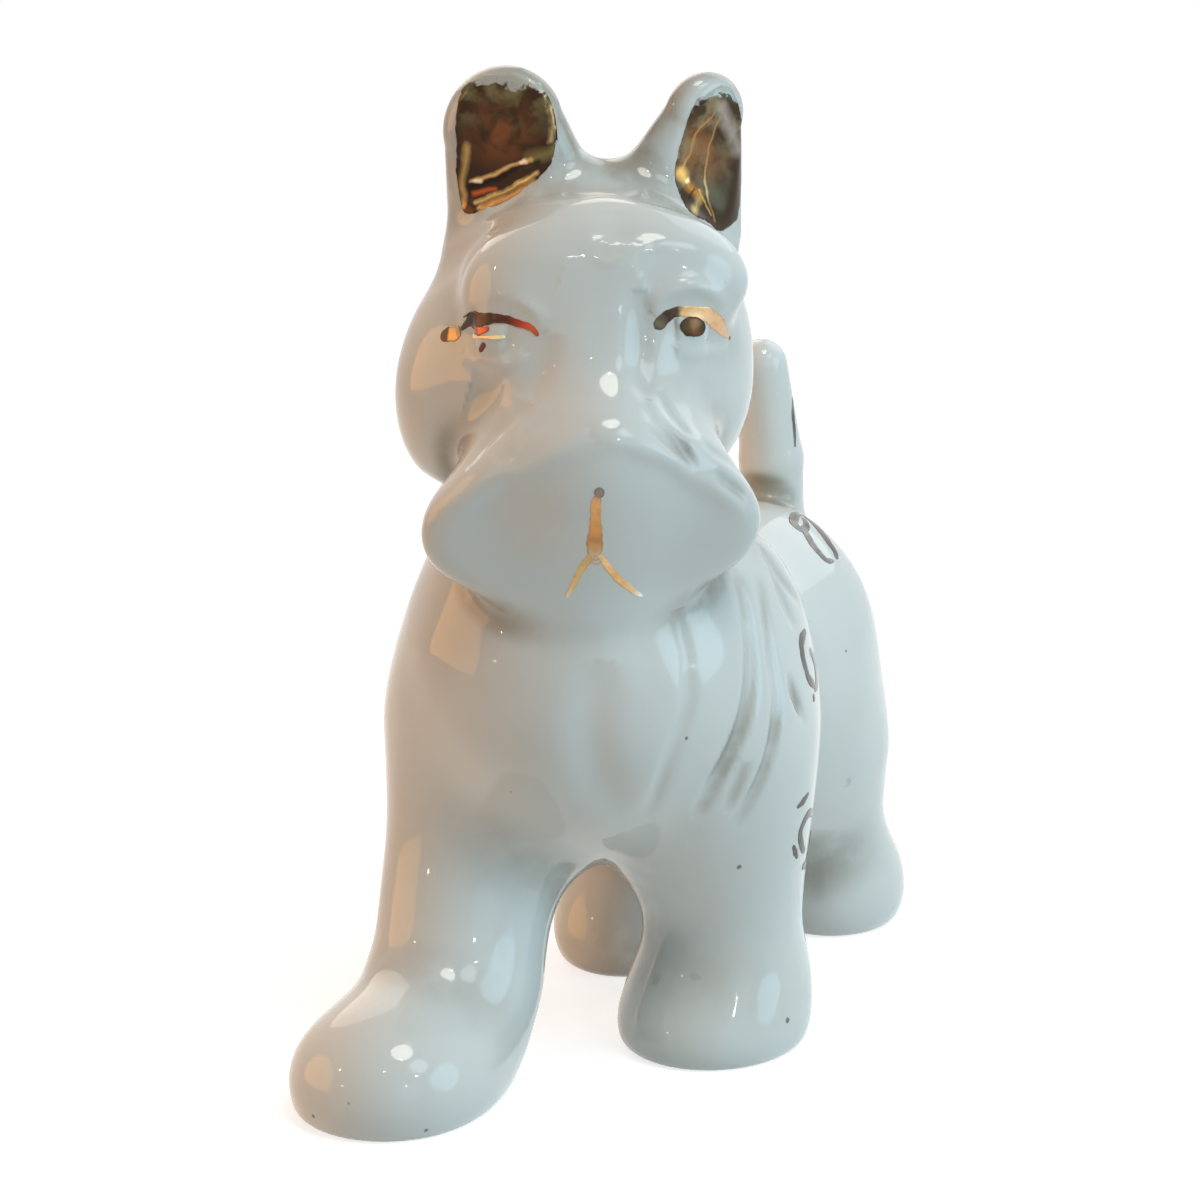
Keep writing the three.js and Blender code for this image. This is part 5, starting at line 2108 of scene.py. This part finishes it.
LIP_GOLD = BrushedGold(
    "lip_gold",
    (
        (0.0, (0.62, 0.40, 0.20)), (0.4, (0.74, 0.45, 0.16)), (0.8, (0.72, 0.46, 0.2)),
        (1.0, (0.78, 0.64, 0.45)),
    ),
    edge_share=0.12, metal=0.4, roughness=0.3,
)
BRIGHT_LIP_GOLD = BrushedGold(
    "bright_lip_gold",
    (
        (0.0, (0.72, 0.47, 0.24)), (0.2, (0.95, 0.58, 0.27)), (0.5, (0.85, 0.46, 0.16)),
        (0.85, (0.9, 0.56, 0.26)), (0.93, (1.0, 0.92, 0.75)), (1.0, (1.0, 0.95, 0.85)),
    ),
    edge_share=0.15, metal=0.45, roughness=0.3,
)
FLARE_GOLD = BrushedGold(
    "flare_gold",
    ((0.0, (0.66, 0.50, 0.36)), (1.0, (0.66, 0.50, 0.36))),
    edge_share=0.1, metal=0.3, roughness=0.3,
)

FACE = (
    Painting("right_brow_stroke", Slot.GOLD, (
        Touch(((-12.7, -4.6, 64.9), (-12.4, -5.0, 65.2), (-12.1, -5.6, 65.4), (-11.7, -6.3, 65.6),
               (-11.4, -7.0, 65.9)),
              (0.4, 0.6, 0.68, 0.62, 0.4), BLOB_GOLD),
        Touch(((-11.4, -7.0, 65.9), (-11.2, -7.4, 66.2), (-11.0, -8.6, 66.8), (-10.6, -9.6, 67.1),
               (-9.6, -10.5, 67.4),
               (-8.4, -11.1, 67.4), (-7.3, -11.5, 67.1), (-6.1, -11.9, 66.8), (-5.4, -12.3, 66.1)),
              (0.16, 0.3, 0.55, 0.6, 0.5, 0.38, 0.33, 0.3, 0.28, 0.14), BROW_GOLD),
        Touch(((-10.8, -8.5, 66.4), (-10.0, -9.5, 66.2), (-9.2, -10.3, 66.5)), (0.15, 0.34, 0.16), RED_GOLD),
        # painted highlight on the rim of the lower lid
        Touch(((-10.6, -8.5, 65.6), (-9.8, -9.4, 65.7), (-8.9, -10.3, 65.8), (-7.9, -11.0, 65.9)),
              (0.18, 0.2, 0.08, 0.07, 0.14, 0.17, 0.12), GLINT_LINE_GOLD),
        Touch(((-11.6, -7.4, 67.1), (-11.3, -8.6, 67.5), (-11.0, -9.2, 67.3)), (0.05, 0.07, 0.05), DOT_GOLD),
    ), on_head=True),
    Painting("left_brow_stroke", Slot.GOLD, (
        Touch(((4.1, -12.6, 66.6), (4.5, -12.4, 67.0), (4.8, -12.3, 67.3), (5.4, -12.1, 67.7),
               (6.1, -12.0, 67.9),
               (6.8, -11.7, 67.8), (7.6, -11.5, 67.7), (8.4, -11.1, 67.5), (9.0, -10.7, 67.1),
               (9.7, -10.0, 66.5), (10.4, -8.8, 65.7), (11.1, -7.4, 64.9)),
              (0.48, 0.5, 0.45, 0.4, 0.48, 0.58, 0.64, 0.66, 0.6, 0.48, 0.32, 0.12), PEACH_GOLD),
        Touch(((11.0, -7.6, 65.0), (11.2, -7.2, 64.8)), (0.1, 0.16, 0.1), DOT_GOLD, along=16),
    ), on_head=True),
    Painting("right_pupil", Slot.GOLD, (
        Touch(((-9.3, -9.9, 65.3), (-9.5, -9.6, 64.9), (-9.7, -9.3, 64.5)), (0.22, 0.25, 0.18), DASH_GOLD),
    ), on_head=True),
    Painting("left_pupil", Slot.GOLD, (
        Touch(((6.2, -11.9, 66.7), (6.8, -11.7, 66.6), (7.2, -11.4, 66.5), (7.7, -11.2, 66.4),
               (8.2, -10.9, 66.3)),
              (0.5, 0.78, 0.82, 0.72, 0.55), PUPIL_GOLD, wobble=0.03),
    ), on_head=True),
    Painting("nose_stroke", Slot.GOLD, (
        Touch(((-0.6, -18.8, 54.2), (-0.7, -18.6, 53.3), (-0.6, -18.3, 52.4), (-0.5, -17.9, 51.5),
               (-0.4, -17.2, 50.3),
               (-0.3, -16.6, 49.3), (-0.2, -16.1, 48.6)), (0.34, 0.42, 0.44, 0.5, 0.64, 0.66, 0.5),
              NOSE_GOLD),
        Touch(((-0.6, -18.9, 54.9), (-0.5, -18.9, 54.4), (-0.6, -18.8, 54.0)), (0.3, 0.42, 0.34), GREY_GOLD,
              along=20),
    ), on_head=True),
    Painting("right_lip_stroke", Slot.GOLD, (
        Touch(((-0.3, -16.4, 49.0), (-0.8, -15.7, 48.0), (-1.2, -15.2, 47.2), (-1.5, -14.7, 46.2),
               (-1.8, -14.4, 45.4), (-2.1, -14.2, 44.7)), (0.3, 0.34, 0.3, 0.26, 0.22, 0.12), LIP_GOLD),
    ), on_head=True),
    Painting("left_lip_stroke", Slot.GOLD, (
        Touch(((0.0, -16.3, 48.9), (0.5, -15.9, 48.3), (1.2, -15.3, 47.3), (1.8, -14.8, 46.6),
               (2.4, -14.5, 46.0), (3.0, -14.2, 45.5), (3.6, -14.1, 45.0), (4.3, -13.9, 44.6)),
              (0.22, 0.26, 0.3, 0.28, 0.3, 0.26, 0.22, 0.1), BRIGHT_LIP_GOLD),
        Touch(((-0.4, -15.9, 48.2), (-0.0, -15.8, 48.0), (0.4, -15.9, 48.2)), (0.2, 0.26, 0.2), FLARE_GOLD,
              along=20),
    ), on_head=True),
)

THICK = ScrollEnamel("thick_enamel", fade=0.3)
THIN = ScrollEnamel("thin_enamel", dark=(0.07, 0.058, 0.048), fade=0.6)


@dataclass(frozen=True)
class Scroll:
    """A scroll of two pieces on one flank, the curl and the sweep, drawn for the left side."""

    place: str
    curl: tuple[Touch, ...]
    sweep: tuple[Touch, ...]

    def paintings(self, side: str, shift: Triple = (0.0, 0.0, 0.0)) -> list[Painting]:
        """Gives the scroll's two pieces on a side of the dog.

        Args:
            side: The side, left or right.
            shift: How far a scroll on the right is moved after it is mirrored.

        Returns:
            The curl and the sweep.
        """
        made = []
        for part, touches in (("curl", self.curl), ("sweep", self.sweep)):
            if side == "right":
                touches = tuple(self.mirror(touch, shift) for touch in touches)
            made.append(Painting(f"{side}_{self.place}_{part}", Slot.ENAMEL, touches))
        return made

    @staticmethod
    def mirror(touch: Touch, shift: Triple) -> Touch:
        """Gives a touch on the other side of the dog, moved by the shift given."""
        points = tuple((shift[0] - x, y + shift[1], z + shift[2]) for x, y, z in touch.points)
        return replace(touch, points=points)


SCROLLS = (
    Scroll(
        place="haunch",
        curl=(
            Touch(((4.6, 25.4, 41.8), (5.0, 22.5, 41.9), (5.7, 20.7, 41.6), (6.5, 20.6, 41.2),
                   (6.4, 22.2, 41.2), (5.4, 23.8, 41.6)), (0.26, 0.44, 0.51, 0.46, 0.38, 0.26), THIN),
            Touch(((6.7, 20.8, 41.0), (7.8, 19.8, 40.1), (8.8, 19.4, 39.2), (9.5, 19.6, 38.6),
                   (9.8, 20.6, 38.4)),
                  (0.38, 0.44, 0.41, 0.38, 0.19), THIN),
        ),
        sweep=(
            Touch(((4.4, 25.6, 41.6), (5.6, 25.2, 41.4), (7.0, 24.1, 40.6), (8.3, 23.0, 39.7),
                   (9.3, 22.3, 38.9), (9.8, 21.4, 38.4)), (0.38, 0.64, 0.70, 0.64, 0.51, 0.19), THICK),
        ),
    ),
    Scroll(
        place="barrel",
        curl=(
            Touch(((16.7, -3.6, 37.9), (17.1, -5.8, 37.4), (17.5, -6.5, 36.4), (17.8, -6.6, 35.2),
                   (18.0, -6.4, 34.3), (18.1, -5.0, 33.3)), (0.20, 0.51, 0.59, 0.51, 0.54, 0.38), THICK),
        ),
        sweep=(
            Touch(((17.1, -3.9, 36.2), (17.2, -3.0, 35.2), (17.4, -3.1, 34.2), (17.8, -3.8, 33.3),
                   (18.2, -5.3, 33.0)),
                  (0.38, 0.51, 0.46, 0.44, 0.26), THIN),
            Touch(((18.4, -6.3, 32.7), (18.5, -5.9, 32.4)), (0.38, 0.46, 0.38), THICK, along=20),
        ),
    ),
    Scroll(
        place="shoulder",
        curl=(
            Touch(((17.8, -4.7, 21.6), (18.2, -6.4, 22.1), (18.1, -7.7, 21.4), (18.0, -7.8, 20.4),
                   (17.8, -6.9, 19.1), (17.6, -5.9, 18.4)), (0.28, 0.44, 0.44, 0.41, 0.41, 0.26), THICK),
            Touch(((18.3, -9.5, 23.5), (18.4, -8.4, 23.8), (18.5, -7.4, 24.3)), (0.13, 0.41, 0.15), THICK),
        ),
        sweep=(
            Touch(((17.4, -6.0, 16.9), (17.4, -4.6, 17.0), (17.5, -3.6, 18.0), (17.7, -3.4, 19.6)),
                  (0.26, 0.51, 0.46, 0.15), THICK),
            Touch(((17.7, -8.9, 19.8), (17.7, -8.4, 19.2), (17.6, -7.7, 18.3)), (0.15, 0.33, 0.13), THICK),
        ),
    ),
)

RIGHT_SHIFTS = {"haunch": (0.0, 0.0, 0.0), "barrel": (0.0, -4.0, 0.0), "shoulder": (0.0, -11.6, -3.4)}

TAIL_TOUCH = Painting("tail_touch", Slot.ENAMEL, (
    Touch(((2.9, 27.6, 52.3), (3.1, 27.2, 50.8), (3.3, 27.2, 49.2), (3.6, 27.0, 47.6)),
          (0.12, 0.3, 0.26, 0.12), THIN),
))


def paintings() -> list[Painting]:
    """Lists the painted pieces of the face, the flanks and the tail."""
    made = list(FACE)
    for scroll in SCROLLS:
        made += scroll.paintings("left")
        made += scroll.paintings("right", RIGHT_SHIFTS[scroll.place])
    return [*made, TAIL_TOUCH]


# Studio


@dataclass(frozen=True)
class Softbox:
    """A round lamp: its bearing from the dog and its height in degrees, its distance, size and light."""

    name: str
    bearing: float  # from straight ahead of the dog's body to its left
    height: float
    distance: float
    size: float
    watts: float
    colour: Triple

    def at(self, aim: Triple) -> Vector:
        """Gives the lamp's place, round the point at which it looks."""
        bearing = math.radians(self.bearing)
        height = math.radians(self.height)
        way = (math.sin(bearing) * math.cos(height), -math.cos(bearing) * math.cos(height), math.sin(height))
        return Vector(aim) + self.distance * Vector(way)

    def build(self, aim: Triple) -> None:
        """Adds the lamp.

        Args:
            aim: The point at which it looks.
        """
        lamp = bpy.data.lights.new(self.name, "AREA")
        lamp.shape = "DISK"
        lamp.size = self.size
        lamp.energy = self.watts
        lamp.color = self.colour
        made = bpy.data.objects.new(self.name, lamp)
        made.location = self.at(aim)
        made.rotation_euler = (Vector(aim) - self.at(aim)).to_track_quat("-Z", "Y").to_euler()
        bpy.context.scene.collection.objects.link(made)


@dataclass(frozen=True)
class Studio:
    """A pale floor, soft lamps and the photograph's camera."""

    lens: float = 102.0
    camera_at: Triple = (0.1215, -0.2692, 0.110)
    camera_turn: Triple = (76.42, 0.0, 25.0)  # degrees
    clip_start: float = 0.01
    aim: Triple = (0.0, 0.0, 0.045)
    floor_size: float = 6.0
    softboxes: tuple[Softbox, ...] = (
        Softbox("key", 60, 70, 0.9, 0.3, 2.1, (1.0, 0.95, 0.84)),
        Softbox("side", 72, 46, 0.9, 0.3, 0.8, (0.88, 0.96, 1.0)),
        Softbox("front", 50, 10, 0.9, 0.5, 0.45, (0.45, 0.95, 1.0)),
        Softbox("window", 95, 16, 0.9, 0.6, 2.6, (0.46, 0.81, 1.0)),
        Softbox("hearth", -66, 8, 0.9, 0.7, 3.1, (1.0, 0.43, 0.06)),
        Softbox("back_left", 165, 40, 0.9, 0.7, 1.6, (0.90, 0.96, 1.0)),
        Softbox("back_right", -135, 35, 0.9, 0.7, 1.9, (1.0, 0.92, 0.80)),
        Softbox("bulb_right", 48, 22, 0.8, 0.026, 0.09, (1.0, 0.98, 0.95)),
        Softbox("bulb_side", 62, 33, 0.8, 0.026, 0.09, (0.95, 0.98, 1.0)),
        Softbox("bulb_left", -45, 30, 0.8, 0.026, 0.09, (1.0, 0.90, 0.70)),
        Softbox("bulb_low", -30, 12, 0.8, 0.026, 0.07, (1.0, 0.85, 0.6)),
        Softbox("bulb_high", 50, 62, 0.8, 0.026, 0.09, (1.0, 0.97, 0.92)),
        Softbox("bulb_front", 20, 46, 0.8, 0.026, 0.07, (1.0, 0.98, 0.95)),
    )
    floor_colour: Triple = (0.68, 0.68, 0.67)
    floor_grain: Triple = (0.5, 0.5, 0.5)
    floor_fade: tuple[float, float] = (0.12, 0.6)  # metres from the dog between which it turns plain white
    floor_shine: float = 0.7  # of its own near the dog, to the rays that see it
    sky_colour: Triple = (0.90, 0.95, 1.0)
    sky_light: float = 0.08

    def build(self) -> None:
        """Sets up the studio."""
        scene = bpy.context.scene
        scene.view_settings.view_transform = "Standard"
        self.add_camera(scene)
        self.add_floor()
        self.add_world(scene)
        for softbox in self.softboxes:
            softbox.build(self.aim)

    def add_camera(self, scene: bpy.types.Scene) -> None:
        """Adds the camera of the photograph.

        Args:
            scene: The scene, which looks through it.
        """
        camera = bpy.data.cameras.new("camera")
        camera.lens = self.lens
        camera.clip_start = self.clip_start
        made = bpy.data.objects.new("camera", camera)
        made.location = self.camera_at
        made.rotation_euler = [math.radians(angle) for angle in self.camera_turn]
        scene.collection.objects.link(made)
        scene.camera = made

    @staticmethod
    def seen(bench: Bench) -> bpy.types.NodeSocket:
        """Gives a mask of the rays that see the white background: the camera's, and those in gloss."""
        path = bench.add("ShaderNodeLightPath")
        gloss = bench.math("MAXIMUM", path.outputs["Is Glossy Ray"], path.outputs["Is Transmission Ray"])
        return bench.math("MAXIMUM", path.outputs["Is Camera Ray"], gloss)

    def add_floor(self) -> None:
        """Adds the floor, which shows white and keeps the dog's shadow."""
        bm = bmesh.new()
        bmesh.ops.create_grid(bm, x_segments=1, y_segments=1, size=self.floor_size)
        floor = object_from(bm, "floor")
        material, bench, shader = new_material("pale_floor")
        away = bench.vector_math("LENGTH", bench.place()).outputs["Value"]
        far = bench.ramp(away, *self.floor_fade)
        grain = bench.math("MULTIPLY", bench.noise(bench.place(), 60.0, 4.0), 0.02)
        near = bench.blend(grain, tint(self.floor_colour), tint(self.floor_grain))
        level = bench.math("ADD", self.floor_shine, bench.math("MULTIPLY", far, 1 - self.floor_shine))
        sockets = {
            "Base Color": bench.blend(far, near, tint(BLACK)),
            "Roughness": 0.9,
            "Specular IOR Level": 0.0,
            "Emission Color": tint(WHITE),
            "Emission Strength": bench.math("MULTIPLY", self.seen(bench), level),
        }
        for name, value in sockets.items():
            bench.wire(value, shader.inputs[name])
        floor.data.materials.append(material)

    def add_world(self, scene: bpy.types.Scene) -> None:
        """Adds a pale surrounding, which is white where it is seen and softer to the dog.

        Args:
            scene: The scene that it surrounds.
        """
        world = bpy.data.worlds.new("surrounding")
        world.use_nodes = True
        bench = Bench(world.node_tree)
        output = bench.add("ShaderNodeOutputWorld")
        soft = bench.add("ShaderNodeBackground", Color=tint(self.sky_colour), Strength=self.sky_light)
        white = bench.add("ShaderNodeBackground", Color=tint(WHITE), Strength=1.0)
        mixed = bench.add("ShaderNodeMixShader", in_0=self.seen(bench), in_1=soft.outputs[0],
                          in_2=white.outputs[0])
        bench.wire(mixed.outputs[0], output.inputs["Surface"])
        scene.world = world


def main() -> None:
    """Builds and dresses the dog, and sets up the studio."""
    logging.basicConfig(level=logging.INFO, format="%(name)s: %(message)s")
    palette = Palette()
    terrier = Terrier()
    skin = terrier.skin()
    for casting in terrier.castings():
        casting.dress(casting.build(skin, terrier.form), palette.mix(Porcelain()))
    bpy.data.objects.remove(skin)
    for piece in (*GILDINGS, *paintings()):
        piece.dress(piece.build(terrier.form), palette)
    Studio().build()


if __name__ == "__main__":
    main()
